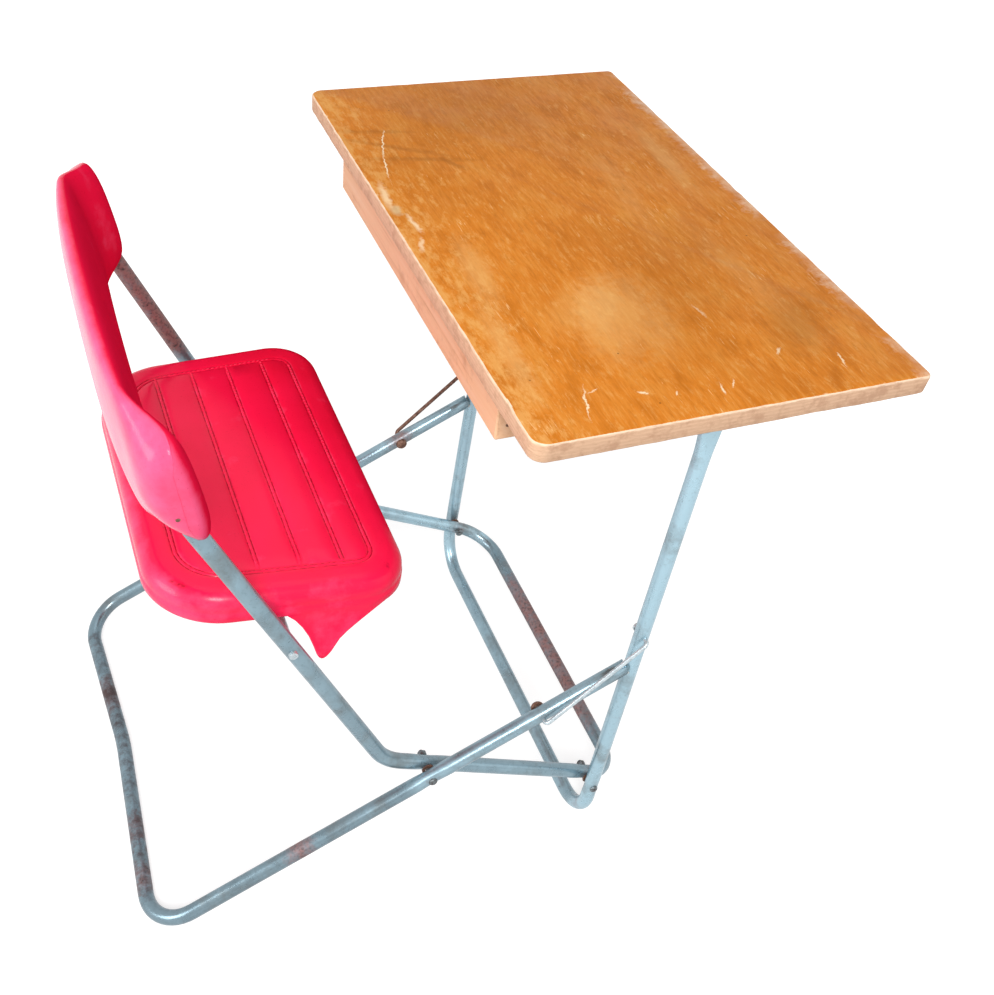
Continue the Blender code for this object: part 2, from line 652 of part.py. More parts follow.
def desk_under_frame():
    under = TOP_THICK + SEAT_GAP
    apron_back = APRON_SETBACK + APRON_THICK
    apron = board_box("desk_apron", APRON_SETBACK, apron_back, -APRON_LENGTH / 2, APRON_LENGTH / 2,
                      under, under + APRON_HEIGHT, WOOD_EDGE_ROUND)
    place(apron, "bare_wood", desk_axis)
    for side_name, side in SIDES:
        faces = sorted((side * RAIL_OUTER, side * (RAIL_OUTER - RAIL_THICK)))
        rail = board_box(f"desk_rail_{side_name}", apron_back + SEAT_GAP, TOP_DEPTH - RAIL_FAR_SETBACK,
                         faces[0], faces[1], under, under + RAIL_HEIGHT, WOOD_EDGE_ROUND)
        place(rail, "bare_wood", desk_axis)
        inside = side * (RAIL_OUTER - RAIL_THICK - CUT_MARGIN)
        outside = side * (RAIL_OUTER + CUT_MARGIN)
        cross_hole(rail, "pivot", DESK_PIVOT, inside, outside, PIVOT_BOLT_R)
        peg = DESK_PIVOT - LEG_DIRECTION * PEG_DROP - ACROSS_LEG * (LEG_FLAT_WIDTH / 2 + PEG_R + SEAT_GAP)
        cross_hole(rail, "peg", peg, inside, outside, PEG_SHANK_R)
        profile = [(0.0, LEG_FLAT_THICK), (PEG_R, LEG_FLAT_THICK), (PEG_R, SEAT_GAP),
                   (PEG_SHANK_R, SEAT_GAP), (PEG_SHANK_R, -RAIL_THICK), (0.0, -RAIL_THICK)]
        where = at_side(peg, side * RAIL_OUTER)
        place(turned(f"desk_stop_peg_{side_name}", profile, where, side), "steel", desk_axis)
        stack = LEG_FLAT_THICK + SEAT_GAP + RAIL_THICK
        pivot_bolt("desk_pivot", DESK_PIVOT, side, stack, OUTER_HALF - TUBE_R + LEG_FLAT_THICK, desk_axis)


def seat_outline():
    """The seat's rounded outline in plan, front edge ahead."""
    rear = SEAT_FRONT - SEAT_DEPTH
    corners = [Vector((rear, -SEAT_REAR_HALF, 0)), Vector((SEAT_FRONT, -SEAT_FRONT_HALF, 0)),
               Vector((SEAT_FRONT, SEAT_FRONT_HALF, 0)), Vector((rear, SEAT_REAR_HALF, 0))]
    radii = [SEAT_REAR_CORNER_R, SEAT_FRONT_CORNER_R, SEAT_FRONT_CORNER_R, SEAT_REAR_CORNER_R]
    rear_middle = Vector((rear, 0, 0))
    return rounded_path([rear_middle, *corners, rear_middle], radii)[1:-1]


def seat_shell():
    bm = bmesh.new()
    floor = SEAT_TOP_HEIGHT - SEAT_RIM
    rim = [bm.verts.new((point.x, point.y, floor)) for point in seat_outline()]
    face = bm.faces.new(rim)
    lifted = bmesh.ops.extrude_face_region(bm, geom=[face])
    top = [item for item in lifted["geom"] if isinstance(item, bmesh.types.BMVert)]
    bmesh.ops.translate(bm, vec=(0.0, 0.0, SEAT_RIM), verts=top)
    top_set = set(top)
    edges = [edge for edge in bm.edges if edge.verts[0] in top_set and edge.verts[1] in top_set]
    bmesh.ops.bevel(bm, geom=edges, offset=SEAT_EDGE_R, segments=SEAT_EDGE_STEPS,
                    profile=ROUND_PROFILE, affect="EDGES")
    bm.faces.ensure_lookup_table()
    bottom = [item for item in bm.faces if all(vert.co.z < floor + SEAT_GAP for vert in item.verts)]
    bmesh.ops.delete(bm, geom=bottom, context="FACES")
    seat = object_from_bmesh("seat_shell", bm)
    wall = seat.modifiers.new("wall", "SOLIDIFY")
    wall.thickness = SEAT_WALL
    wall.offset = -1.0
    wall.use_even_offset = True
    for side_name, side in SIDES:
        boolean(seat, seat_lug(side_name, side), "UNION")
        boolean(seat, seat_rib(side_name, side), "UNION")
    reach = SEAT_FRAME_HALF + TUBE_D
    cross_hole(seat, "rod", SEAT_ROD, -reach, reach, ROD_R)
    place(seat, "red_plastic")
    seat_rod()


def prism(name, outline, y_from, y_to):
    """A plate with an outline in the side view, from one y to another."""
    bm = bmesh.new()
    near, far = sorted((y_from, y_to))
    face = bm.faces.new([bm.verts.new(at_side(point, near)) for point in outline])
    lifted = bmesh.ops.extrude_face_region(bm, geom=[face])
    moved = [item for item in lifted["geom"] if isinstance(item, bmesh.types.BMVert)]
    bmesh.ops.translate(bm, vec=(0.0, far - near, 0.0), verts=moved)
    return place_cutter(object_from_bmesh(name, bm))


def upright_front_at(z):
    """The front of an upright, with the seat gap, at a height."""
    ahead = (TUBE_R + SEAT_GAP) / math.cos(UPRIGHT_RAKE)
    return upright_at(z) + Vector((ahead, 0.0, 0.0))


def seat_side_at(x):
    """The seat's half width at a place along its depth."""
    share = (SEAT_FRONT - x) / SEAT_DEPTH
    return SEAT_FRONT_HALF + (SEAT_REAR_HALF - SEAT_FRONT_HALF) * share


def seat_lug(side_name, side):
    """The pointed lug at the seat's side, whose tip bears on the front of the upright."""
    tip = upright_front_at(SEAT_TOP_HEIGHT - LUG_DROP)
    tip_outer = SEAT_FRAME_HALF - TUBE_R + LUG_LAP
    root = upright_front_at(SEAT_TOP_HEIGHT - SEAT_RIM + SEAT_WALL)
    bm = bmesh.new()
    for ahead in (0.0, LUG_TIP_LENGTH):
        point = tip + Vector((ahead, 0.0, 0.0))
        bm.verts.new(at_side(point, side * tip_outer))
        bm.verts.new(at_side(point, side * (tip_outer - LUG_TIP_WIDTH)))
    for ahead in (0.0, LUG_ROOT_LENGTH):
        point = root + Vector((ahead, 0.0, 0.0))
        outer = seat_side_at(point.x) - SEAT_GAP
        bm.verts.new(at_side(point, side * outer))
        bm.verts.new(at_side(point, side * (outer - LUG_ROOT_WIDTH)))
    bmesh.ops.convex_hull(bm, input=bm.verts)
    return place_cutter(object_from_bmesh(f"seat_lug_{side_name}", bm))


def seat_rib(side_name, side):
    """The rib under the seat that the cross rod runs through."""
    root = SEAT_TOP_HEIGHT - SEAT_WALL / 2
    low = SEAT_ROD.z - RIB_BELOW_ROD
    foot = RIB_FOOT_LENGTH / 2
    half = RIB_ROOT_LENGTH / 2
    outline = [Vector((SEAT_ROD.x - foot, 0, low)), Vector((SEAT_ROD.x + foot, 0, low)),
               Vector((SEAT_ROD.x + half, 0, root)), Vector((SEAT_ROD.x - half, 0, root))]
    middle = side * RIB_SPACING / 2
    return prism(f"seat_rib_{side_name}", outline, middle - RIB_THICK / 2, middle + RIB_THICK / 2)


def seat_rod():
    in_cap = ROD_CAP_THICK / 2
    face = SEAT_FRAME_HALF + TUBE_R
    reach = face + SEAT_GAP + in_cap
    place(rod_mesh_object("seat_rod", at_side(SEAT_ROD, -reach), at_side(SEAT_ROD, reach), ROD_R), "steel")
    bore = ROD_R + BORE_GAP
    blind = in_cap + 2 * SEAT_GAP
    profile = [(0.0, ROD_CAP_THICK), (ROD_CAP_FLAT_R, ROD_CAP_THICK), (ROD_CAP_R, ROD_CAP_EDGE),
               (ROD_CAP_R, SEAT_GAP), (bore, SEAT_GAP), (bore, blind), (0.0, blind)]
    for side_name, side in SIDES:
        where = at_side(SEAT_ROD, side * face)
        place(turned(f"seat_rod_cap_{side_name}", profile, where, side), "steel")


def cell_block(cells):
    """A block from -1 to 1 on each axis, cut into cells."""
    bm = bmesh.new()
    bmesh.ops.create_cube(bm, size=2.0)
    for axis, count in enumerate(cells):
        runs = [edge for edge in bm.edges if abs(edge.verts[0].co[axis] - edge.verts[1].co[axis]) > 1.0]
        bmesh.ops.subdivide_edges(bm, edges=runs, cuts=count - 1, use_grid_fill=True)
    return bm


def backrest_point(across, up, back):
    """A point of the backrest: across from -1 to 1, up from -1 to 1, front -1 to rear 1."""
    largest = max(abs(up), abs(back))
    power = BACK_ROUNDNESS
    if largest > 0.0:
        round_in = largest / (abs(up) ** power + abs(back) ** power) ** (1.0 / power)
        up, back = up * round_in, back * round_in
    share_up = (up + 1.0) / 2
    share_back = (back + 1.0) / 2
    y = BACK_HALF * math.sin(across * math.pi / 2)
    wing = eased((abs(y) - WING_TURN_FROM) / WING_TURN)
    past = min(max((abs(y) - BACK_HALF) / WING_END_R + 1.0, 0.0), 1.0)
    inset = WING_END_R * (1.0 - math.sqrt(1.0 - past * past))
    low = BACK_BOTTOM + WING_CUT * share_back * wing
    high = BACK_TOP - (WING_DROP + WING_SHOULDER * share_back) * wing
    z = between(low + inset, high - inset, share_up)
    rise = z - BACK_BOTTOM
    share = rise / (BACK_TOP - BACK_BOTTOM)
    front = between(BACK_FRONT - rise * math.tan(BACK_LEAN), WING_FRONT - rise * math.tan(WING_LEAN), wing)
    thick = between(between(BACK_LOW_THICK, BACK_HIGH_THICK, share),
                    between(WING_LOW_THICK, WING_HIGH_THICK, share), wing)
    return Vector((between(front - inset, front - thick + inset, share_back), y, z))


def backrest_shell():
    bm = cell_block(BACK_CELLS)
    for vertex in bm.verts:
        vertex.co = backrest_point(*vertex.co)
    back = object_from_bmesh("backrest_shell", bm)
    smooth(back.data)
    socket_top = UPRIGHT_TOP + UPRIGHT_DIRECTION * SEAT_GAP
    below = upright_at(BACK_BOTTOM - TUBE_D)
    for side_name, side in SIDES:
        y = side * SEAT_FRAME_HALF
        drill(back, f"socket_{side_name}", at_side(below, y), at_side(socket_top, y), TUBE_R + SEAT_GAP)
        outside = side * (BACK_HALF + CUT_MARGIN)
        cross_hole(back, f"screw_{side_name}", BACK_SCREW, y, outside, BACK_SCREW_R)
        head_seat = side * (BACK_HALF - BACK_SCREW_HEAD)
        cross_hole(back, f"screw_head_{side_name}", BACK_SCREW, head_seat, outside, BACK_SCREW_HEAD_R)
        under_head = SEAT_GAP - BACK_SCREW_HEAD
        tip = -WING_WALL - TUBE_WALL * 2
        profile = [(0.0, 0.0), (BACK_SCREW_HEAD_R, 0.0), (BACK_SCREW_HEAD_R, under_head),
                   (BACK_SCREW_R, under_head), (BACK_SCREW_R, tip), (0.0, tip)]
        where = at_side(BACK_SCREW, side * BACK_HALF)
        place(turned(f"backrest_screw_{side_name}", profile, where, side), "steel")
    place(back, "red_plastic")


clear_scene()
parts = new_collection(COLLECTION_NAME)
cutters = new_collection(CUTTER_COLLECTION_NAME)
rear_axis = axis_empty("rear_frame_axis", REAR_PIVOT)
front_axis = axis_empty("desk_frame_axis", FRONT_PIVOT)
desk_axis = axis_empty("desk_top_axis", DESK_PIVOT)
seat_frame()
rear_frame()
desk_frame()
frame_pivots()
link_wires()
desk_top()
desk_under_frame()
seat_shell()
backrest_shell()
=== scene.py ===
"""The looks of a folding children's desk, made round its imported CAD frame.

The file is laid out as an add-on and is run as a script. Each operator makes one group of pieces, the
panel lists them, and main calls them in order. Directions: +X is the way the child looks, +Z is up and
right is -Y.
"""

import json
import math

import bmesh
import bpy
from bpy.props import FloatProperty, FloatVectorProperty, PointerProperty
from mathutils import Matrix, Vector, bvhtree, geometry, noise


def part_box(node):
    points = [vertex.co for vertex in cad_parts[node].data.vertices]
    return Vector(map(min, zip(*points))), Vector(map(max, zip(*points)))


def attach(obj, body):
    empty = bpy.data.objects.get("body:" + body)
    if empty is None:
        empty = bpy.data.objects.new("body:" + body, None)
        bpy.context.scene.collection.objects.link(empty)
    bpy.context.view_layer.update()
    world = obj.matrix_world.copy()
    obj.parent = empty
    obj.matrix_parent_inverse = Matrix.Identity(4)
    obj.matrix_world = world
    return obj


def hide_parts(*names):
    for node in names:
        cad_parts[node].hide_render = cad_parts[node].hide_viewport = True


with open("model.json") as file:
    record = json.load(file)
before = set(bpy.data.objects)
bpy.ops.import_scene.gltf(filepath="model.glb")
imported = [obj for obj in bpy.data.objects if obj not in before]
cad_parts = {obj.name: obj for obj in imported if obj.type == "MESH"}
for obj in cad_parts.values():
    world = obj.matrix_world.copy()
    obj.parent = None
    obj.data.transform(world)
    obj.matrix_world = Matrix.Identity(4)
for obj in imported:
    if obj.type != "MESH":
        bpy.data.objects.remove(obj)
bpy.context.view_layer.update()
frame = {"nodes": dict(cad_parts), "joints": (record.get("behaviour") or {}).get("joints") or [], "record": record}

bl_info = {
    "name": "Folding children's desk",
    "version": (1, 0, 0),
    "blender": (4, 5, 0),
    "location": "View3D > Sidebar > Desk",
    "description": "Dresses the frame of a folding children's desk",
    "category": "Object",
}

SIDES = (("right", -1.0), ("left", 1.0))
AXES = (Vector((1.0, 0.0, 0.0)), Vector((0.0, 1.0, 0.0)), Vector((0.0, 0.0, 1.0)))
MERGE_DISTANCE = 0.00001
CUT_DISTANCE = 0.00002
TINY = 0.0001
BEND_STEP = math.radians(7)
# Half the width of a pressed place, in tube radii.
PRESS_WIDTH = 1.2


def linear(hex_colour):
    """An sRGB hex colour as the linear colour that Blender's sockets take."""
    channels = [int(hex_colour[at:at + 2], 16) / 255 for at in (1, 3, 5)]
    curved = [c / 12.92 if c <= 0.04045 else ((c + 0.055) / 1.055) ** 2.4 for c in channels]
    return (*curved, 1.0)


def length(name, description, default):
    """A length that a user may change."""
    return FloatProperty(
        name=name, description=description, default=default, subtype="DISTANCE", unit="LENGTH"
    )


def angle(name, description, degrees):
    """An angle that a user may change."""
    return FloatProperty(name=name, description=description, default=math.radians(degrees), subtype="ANGLE")


def colour(name, description, hex_colour):
    """A colour that a user may change."""
    return FloatVectorProperty(
        name=name, description=description, default=linear(hex_colour), subtype="COLOR", size=4,
        min=0.0, max=1.0,
    )


class TubeSizes(bpy.types.PropertyGroup):
    diameter: length("Tube diameter", "Outside diameter of the frame tubes", 0.016)
    wall: length("Tube wall", "Wall of the frame tubes", 0.0015)
    foot_bend: length("Foot bend", "Bend radius at the bars on the floor", 0.045)
    side_bend: length("Side bend", "Bend radius of the seat frame's sides", 0.060)
    bar_bow: length("Bar bow", "Forward bow in the middle of the rear bar", 0.011)
    bow_radius: length("Bow radius", "Bend radius in the middle of the rear bar", 0.30)
    saddle_lip: length("Saddle lip", "Pale lip between an arm and the leg that it rests on", 0.0028)
    flat_width: length("Flat width", "Width of a leg's flattened top", 0.021)
    flat_thickness: length("Flat thickness", "Thickness of a leg's flattened top", 0.009)
    flat_length: length("Flat length", "Length of a leg's flattened top", 0.050)
    flat_blend: length("Flat blend", "Length over which a leg flattens", 0.040)
    pinch: length("Pinch", "How far the tubes are pressed in at their pivots", 0.0016)
    pinch_reach: length("Pinch reach", "Length of the pressed place each way from a pivot", 0.020)
    ring_spacing: length("Ring spacing", "Distance between the mesh rings of a tube", 0.006)
    wire_diameter: length("Wire diameter", "Diameter of the link wires", 0.0046)
    wire_bend: length("Wire bend", "Bend radius of the link wires", 0.005)


class SeatSizes(bpy.types.PropertyGroup):
    front_half: length("Front half", "Half width of the seat at its front edge", 0.192)
    rear_half: length("Rear half", "Half width of the seat at its rear edge", 0.171)
    front_corner: length("Front corner", "Corner radius at the front", 0.050)
    rear_corner: length("Rear corner", "Corner radius at the rear", 0.064)
    edge: length("Edge round", "Rounding of the upper edge", 0.015)
    rim: length("Rim", "Height of the turned-down rim", 0.028)
    lip: length("Lip", "Rounding of the rim's lower lip", 0.0022)
    wall: length("Wall", "Wall of the moulding", 0.0020)
    border: length("Border", "Stitch-line border from the edge", 0.030)
    end_gap: length("End gap", "From the border to the first and last channel", 0.028)
    groove_half: length("Groove half", "Half the distance between the two lines of a channel", 0.0018)
    groove_depth: length("Groove depth", "Depth of each moulded line", 0.0012)
    pillow: length("Pillow", "Rise of the panels between the channels", 0.0010)
    stitch: length("Stitch", "Spacing of the moulded stitches", 0.0048)
    seam_height: length("Seam height", "Parting step above the rim's lower edge", 0.0075)
    seam_step: length("Seam step", "Depth of the parting step", 0.0007)
    ear_drop: length("Ear drop", "Ear tip below the seat's top", 0.070)


class BackrestSizes(bpy.types.PropertyGroup):
    setback: length("Setback", "Band's front behind the uprights' axis, at the bottom", 0.0116)
    lean: angle("Lean", "Lean of the band's front", 14.3)
    low_thick: length("Low thickness", "Thickness of the band at the bottom", 0.0379)
    high_thick: length("High thickness", "Thickness of the band at the top", 0.0207)
    bulge: length("Bulge", "How far the band curves to the rear in its middle", 0.0052)
    crown: length("Crown", "Rise of the band's top in its middle", 0.0031)
    end_fall: length("End fall", "Fall of the top from its middle to its ends", 0.0084)
    wrap: length("Wrap", "How far the rear comes forward at the ends", 0.0199)
    wing_ahead: length("Wing ahead", "Wing's front ahead of the uprights' axis, at the bottom", 0.0127)
    wing_lean: angle("Wing lean", "Lean of the wing's front", 14.0)
    wing_low_thick: length("Wing low thickness", "Thickness of the wing at the bottom", 0.0665)
    wing_high_thick: length("Wing high thickness", "Thickness of the wing at the top", 0.0486)
    wing_drop: length("Wing drop", "Wing's top below the band's", 0.0011)
    shoulder: length("Shoulder", "How much further the wing's top falls to the rear", 0.0169)
    wing_cut: length("Wing cut", "How far the wing's rear corner is cut up", 0.0347)
    turn: length("Turn", "Length of the turn from band to wing", 0.0537)
    turn_past: length("Turn past", "Turn's end outside the uprights' axes", 0.001)
    end_round: length("End round", "Rounding of the wing's outer end", 0.030)
    seam: length("Seam", "Height of the moulded parting bead", 0.0006)


class BoardSizes(bpy.types.PropertyGroup):
    near_corner: length("Near corner", "Corner radius at the child's edge", 0.013)
    far_corner: length("Far corner", "Corner radius at the far edge", 0.006)
    arris: length("Arris", "Rounding of the worn edges", 0.0022)
    chips: length("Chips", "Depth of the chips along the edges", 0.0009)


class Finishes(bpy.types.PropertyGroup):
    # The cyan cast of both zinc tones is partly a painted sky reflection.
    zinc: colour("Zinc", "Dulled zinc plating", "#728690")
    zinc_pale: colour("Pale zinc", "Zinc that has kept its bright skin", "#A6C4D1")
    rust: colour("Rust", "Brown rust that has come through the zinc", "#8A625E")
    rust_dark: colour("Dark rust", "Old dark rust and scuffs", "#40302F")
    red: colour("Red", "Moulded red plastic", "#FA1A4C")
    # Painted shade: the deeper red laid in the desk's shadow on the seat and on the backrest's forward face.
    red_deep: colour("Deep red", "Red plastic that has seen less sun", "#D80E2C")
    # Painted sheen: the pale pink laid on the plastic's faces that turn towards the light.
    red_sunned: colour("Sunned red", "Red plastic bleached by the sun", "#FF86BA")
    # Darker red laid in the deepest parts of the moulded lines.
    red_soiled: colour("Soiled red", "Red plastic with dirt in its moulded lines", "#9C0A24")
    varnish: colour("Varnish", "Amber varnished veneer", "#CE7A25")
    varnish_dark: colour("Dark varnish", "Darker figure of the veneer", "#B96918")
    varnish_pale: colour("Pale varnish", "Veneer where the varnish is worn", "#DDA45C")
    raw_edge: colour("Raw edge", "Plywood edge", "#DDB594")
    raw_edge_dark: colour("Dark raw edge", "Soiled plywood edge", "#B98C6E")
    bare_wood: colour("Bare wood", "Bare plank", "#F5C398")
    bare_wood_dark: colour("Dark bare wood", "Stains and figure of the bare plank", "#D09C76")
    plug: colour("Plug", "Pale plastic of the saddle plugs", "#EDEBE4")


JOINT_AT = {joint["name"]: Vector(joint["pos_m"]) for joint in frame["joints"]}


def in_side_view(point):
    """A point moved on to the middle plane."""
    return Vector((point.x, 0.0, point.z))


def at_side(point, y):
    """A point of the side view at a distance from the middle plane."""
    return Vector((point.x, y, point.z))


def middle_of(node):
    """The middle of a CAD node's box."""
    low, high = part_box(node)
    return (low + high) / 2


def meet(point_a, along_a, point_b, along_b):
    """Where two lines of the side view cross."""
    return geometry.intersect_line_line(point_a, point_a + along_a, point_b, point_b + along_b)[0]


REAR_PIVOT = in_side_view(JOINT_AT["rear_fold"])
FRONT_PIVOT = in_side_view(JOINT_AT["desk_fold"])
DESK_PIVOT = in_side_view(JOINT_AT["desk_tilt"])
ARM_PIN = in_side_view(JOINT_AT["link_right_swing"])
LEG_PIN = in_side_view(middle_of("link_stud_right"))
SEAT_ROD = in_side_view(middle_of("seat_rod"))
BACK_SCREW = in_side_view(middle_of("backrest_screw_right"))
ARM_ALONG = (ARM_PIN - REAR_PIVOT).normalized()
LEG_ALONG = (DESK_PIVOT - FRONT_PIVOT).normalized()
ACROSS_LEG = Vector((LEG_ALONG.z, 0.0, -LEG_ALONG.x))
STRETCHER_ALONG = (REAR_PIVOT - FRONT_PIVOT).normalized()
UPRIGHT_ALONG = (BACK_SCREW - SEAT_ROD).normalized()
SIDE_BEND = meet(FRONT_PIVOT, STRETCHER_ALONG, SEAT_ROD, UPRIGHT_ALONG)
ARM_ON_LEG = meet(REAR_PIVOT, ARM_ALONG, FRONT_PIVOT, LEG_ALONG)
MOUNTS = {mount["name"]: mount for mount in frame["record"]["mounts"]}
BOARD_TOP = Vector(MOUNTS["desk_surface"]["pos_m"])
BOARD_UP = Vector(MOUNTS["desk_surface"]["axis"]).normalized()
BOARD_ALONG = Vector((BOARD_UP.z, 0.0, -BOARD_UP.x))
BOARD_SLOPE = math.atan2(BOARD_ALONG.z, BOARD_ALONG.x)
BOARD_HALF_DEPTH = 0.176
BOARD_THICK = 0.018


def add(tree, kind, inputs=None, stops=(), **settings):
    """Add a shader node: its settings, its inputs and a ramp's stops.

    An input is a value, an output of another node, or a node, which stands for its first output in use.
    """
    node = tree.nodes.new(f"ShaderNode{kind}")
    for key, value in settings.items():
        setattr(node, key, value)
    for socket, value in (inputs or {}).items():
        if isinstance(value, bpy.types.Node):
            value = next(output for output in value.outputs if output.enabled)
        if isinstance(value, bpy.types.NodeSocket):
            tree.links.new(value, node.inputs[socket])
        else:
            node.inputs[socket].default_value = value
    for at, (position, value) in enumerate(stops):
        elements = node.color_ramp.elements
        stop = elements[at] if at < len(elements) else elements.new(position)
        stop.position = position
        stop.color = value
    return node


def new_material(name):
    """An empty node material."""
    material = bpy.data.materials.new(name)
    material.use_nodes = True
    material.node_tree.nodes.clear()
    return material, material.node_tree


def finish_of(context, maker, *sizes):
    """The material whose surface a maker works out, made once and named for its maker."""
    made = dict(context.scene.get("desk_materials_made", {}))
    if maker.__name__ not in made:
        material, tree = new_material(maker.__name__)
        surface = add(tree, "BsdfPrincipled", maker(tree, context.scene.desk_finishes, *sizes))
        add(tree, "OutputMaterial", {0: surface})
        made[maker.__name__] = material.name
        context.scene["desk_materials_made"] = made
    return bpy.data.materials[made[maker.__name__]]


def seen_straight(tree):
    """1 where the camera, a mirror or a glass shows the place, and 0 where it only gives light."""
    path = add(tree, "LightPath").outputs
    seen = add(tree, "Math", {0: path["Is Camera Ray"], 1: path["Is Glossy Ray"]}, operation="MAXIMUM")
    return add(tree, "Math", {0: seen, 1: path["Is Transmission Ray"]}, operation="MAXIMUM")


# The colour inputs of a mix node.
MIX_A, MIX_B = 6, 7
WHITE = (1.0, 1.0, 1.0, 1.0)


# Zinc-plated steel tube, dulled by years of handling: clouded blue-grey plating, whose cyan cast is partly a
# painted sky reflection, paler where it has kept its skin, brown rust that has come through in places and dark
# scuffs. Where these lie is painted on the tubes.
def zinc_plated_steel(tree, finish):
    place = add(tree, "TexCoord").outputs["Object"]
    bright_at, rust_at, scuff_at = (
        add(tree, "Attribute", attribute_name=layer).outputs["Fac"] for layer in ("bright", "rust", "scuff")
    )
    dark = finish.rust_dark[:]
    cloud = add(tree, "TexNoise", {"Vector": place, "Scale": 1 / 0.026, "Detail": 6.0, "Roughness": 0.62})
    bright = add(tree, "Math", {0: cloud, 1: 0.9, 2: bright_at}, operation="MULTIPLY_ADD")
    bright = add(tree, "MapRange", {0: bright, 1: 0.36, 2: 1.36})
    tone = add(tree, "Mix", {0: bright, MIX_A: finish.zinc[:], MIX_B: finish.zinc_pale[:]}, data_type="RGBA")
    pits = add(tree, "TexNoise", {"Vector": place, "Scale": 1 / 0.0032, "Detail": 4.0, "Roughness": 0.6})
    pitted = add(tree, "ValToRGB", {0: pits}, ((0.28, (0.6, 0.6, 0.58, 1.0)), (0.44, WHITE)))
    tone = add(tree, "Mix", {0: 0.5, MIX_A: tone, MIX_B: pitted}, data_type="RGBA", blend_type="MULTIPLY")
    grime = add(tree, "TexNoise", {"Vector": place, "Scale": 1 / 0.055, "Detail": 7.0, "Roughness": 0.66})
    grimy = add(tree, "MapRange", {0: grime, 1: 0.50, 2: 0.72, 4: 0.75})
    tone = add(tree, "Mix", {0: grimy, MIX_A: tone, MIX_B: linear("#67645F")}, data_type="RGBA")
    bloom = add(tree, "TexNoise", {"Vector": place, "Scale": 1 / 0.009, "Detail": 7.0, "Roughness": 0.68})
    rusty = add(tree, "Math", {0: bloom, 1: 0.9, 2: rust_at}, operation="MULTIPLY_ADD")
    rusty = add(tree, "MapRange", {0: rusty, 1: 0.66, 2: 1.10, 4: 0.92})
    rust_tone = add(tree, "ValToRGB", {0: pits}, ((0.30, dark), (0.52, finish.rust[:])))
    tone = add(tree, "Mix", {0: rusty, MIX_A: tone, MIX_B: rust_tone}, data_type="RGBA")
    scuffed = add(tree, "Math", {0: bloom, 1: 0.9, 2: scuff_at}, operation="MULTIPLY_ADD")
    scuffed = add(tree, "MapRange", {0: scuffed, 1: 0.74, 2: 1.04, 4: 0.9})
    tone = add(tree, "Mix", {0: scuffed, MIX_A: tone, MIX_B: dark}, data_type="RGBA")
    dull = add(tree, "Math", {0: rusty, 1: scuffed}, operation="MAXIMUM")
    metallic = add(tree, "MapRange", {0: dull, 3: 0.60, 4: 0.15})
    rough = add(tree, "MapRange", {0: cloud, 1: 0.3, 2: 0.7, 3: 0.24, 4: 0.34})
    rough = add(tree, "Math", {0: dull, 1: 0.25, 2: rough}, operation="MULTIPLY_ADD")
    bump = add(tree, "Bump", {"Strength": 0.2, "Distance": 0.0003, "Height": pits})
    return {
        "Base Color": tone, "Metallic": metallic, "Roughness": rough, "Normal": bump,
        "Specular IOR Level": 0.3,
    }


# Drawn steel wire and the seat's rod, bright once and now spotted: fine dark specks on a cool grey.
def bright_steel_turned(tree, finish):
    place = add(tree, "TexCoord").outputs["Object"]
    specks = add(tree, "TexNoise", {"Vector": place, "Scale": 1 / 0.003, "Detail": 4.0, "Roughness": 0.7})
    stops = ((0.24, finish.rust[:]), (0.34, linear("#9AA6AB")), (0.60, linear("#C8D3D8")))
    rough = add(tree, "MapRange", {0: specks, 1: 0.3, 2: 0.6, 3: 0.55, 4: 0.26})
    return {"Base Color": add(tree, "ValToRGB", {0: specks}, stops), "Metallic": 0.7, "Roughness": rough}


# Bolts, nuts and caps of plain steel, grey and dulled with brown in their corners.
def plain_steel_dulled(tree, finish):
    place = add(tree, "TexCoord").outputs["Object"]
    stains = add(tree, "TexNoise", {"Vector": place, "Scale": 1 / 0.005, "Detail": 5.0, "Roughness": 0.7})
    stops = ((0.34, finish.rust_dark[:]), (0.48, linear("#5E6466")), (0.66, linear("#8B979C")))
    return {"Base Color": add(tree, "ValToRGB", {0: stains}, stops), "Metallic": 0.55, "Roughness": 0.46}


# Rusted mild steel: matt red-brown crust over dark iron, rough to the touch.
def rusted_steel(tree, finish):
    place = add(tree, "TexCoord").outputs["Object"]
    crust = add(tree, "TexNoise", {"Vector": place, "Scale": 1 / 0.004, "Detail": 6.0, "Roughness": 0.7})
    stops = ((0.32, finish.rust_dark[:]), (0.50, linear("#74503F")), (0.70, linear("#9A7D70")))
    tone = add(tree, "ValToRGB", {0: crust}, stops)
    bump = add(tree, "Bump", {"Strength": 0.6, "Distance": 0.0004, "Height": crust})
    return {"Base Color": tone, "Metallic": 0.3, "Roughness": 0.68, "Normal": bump}
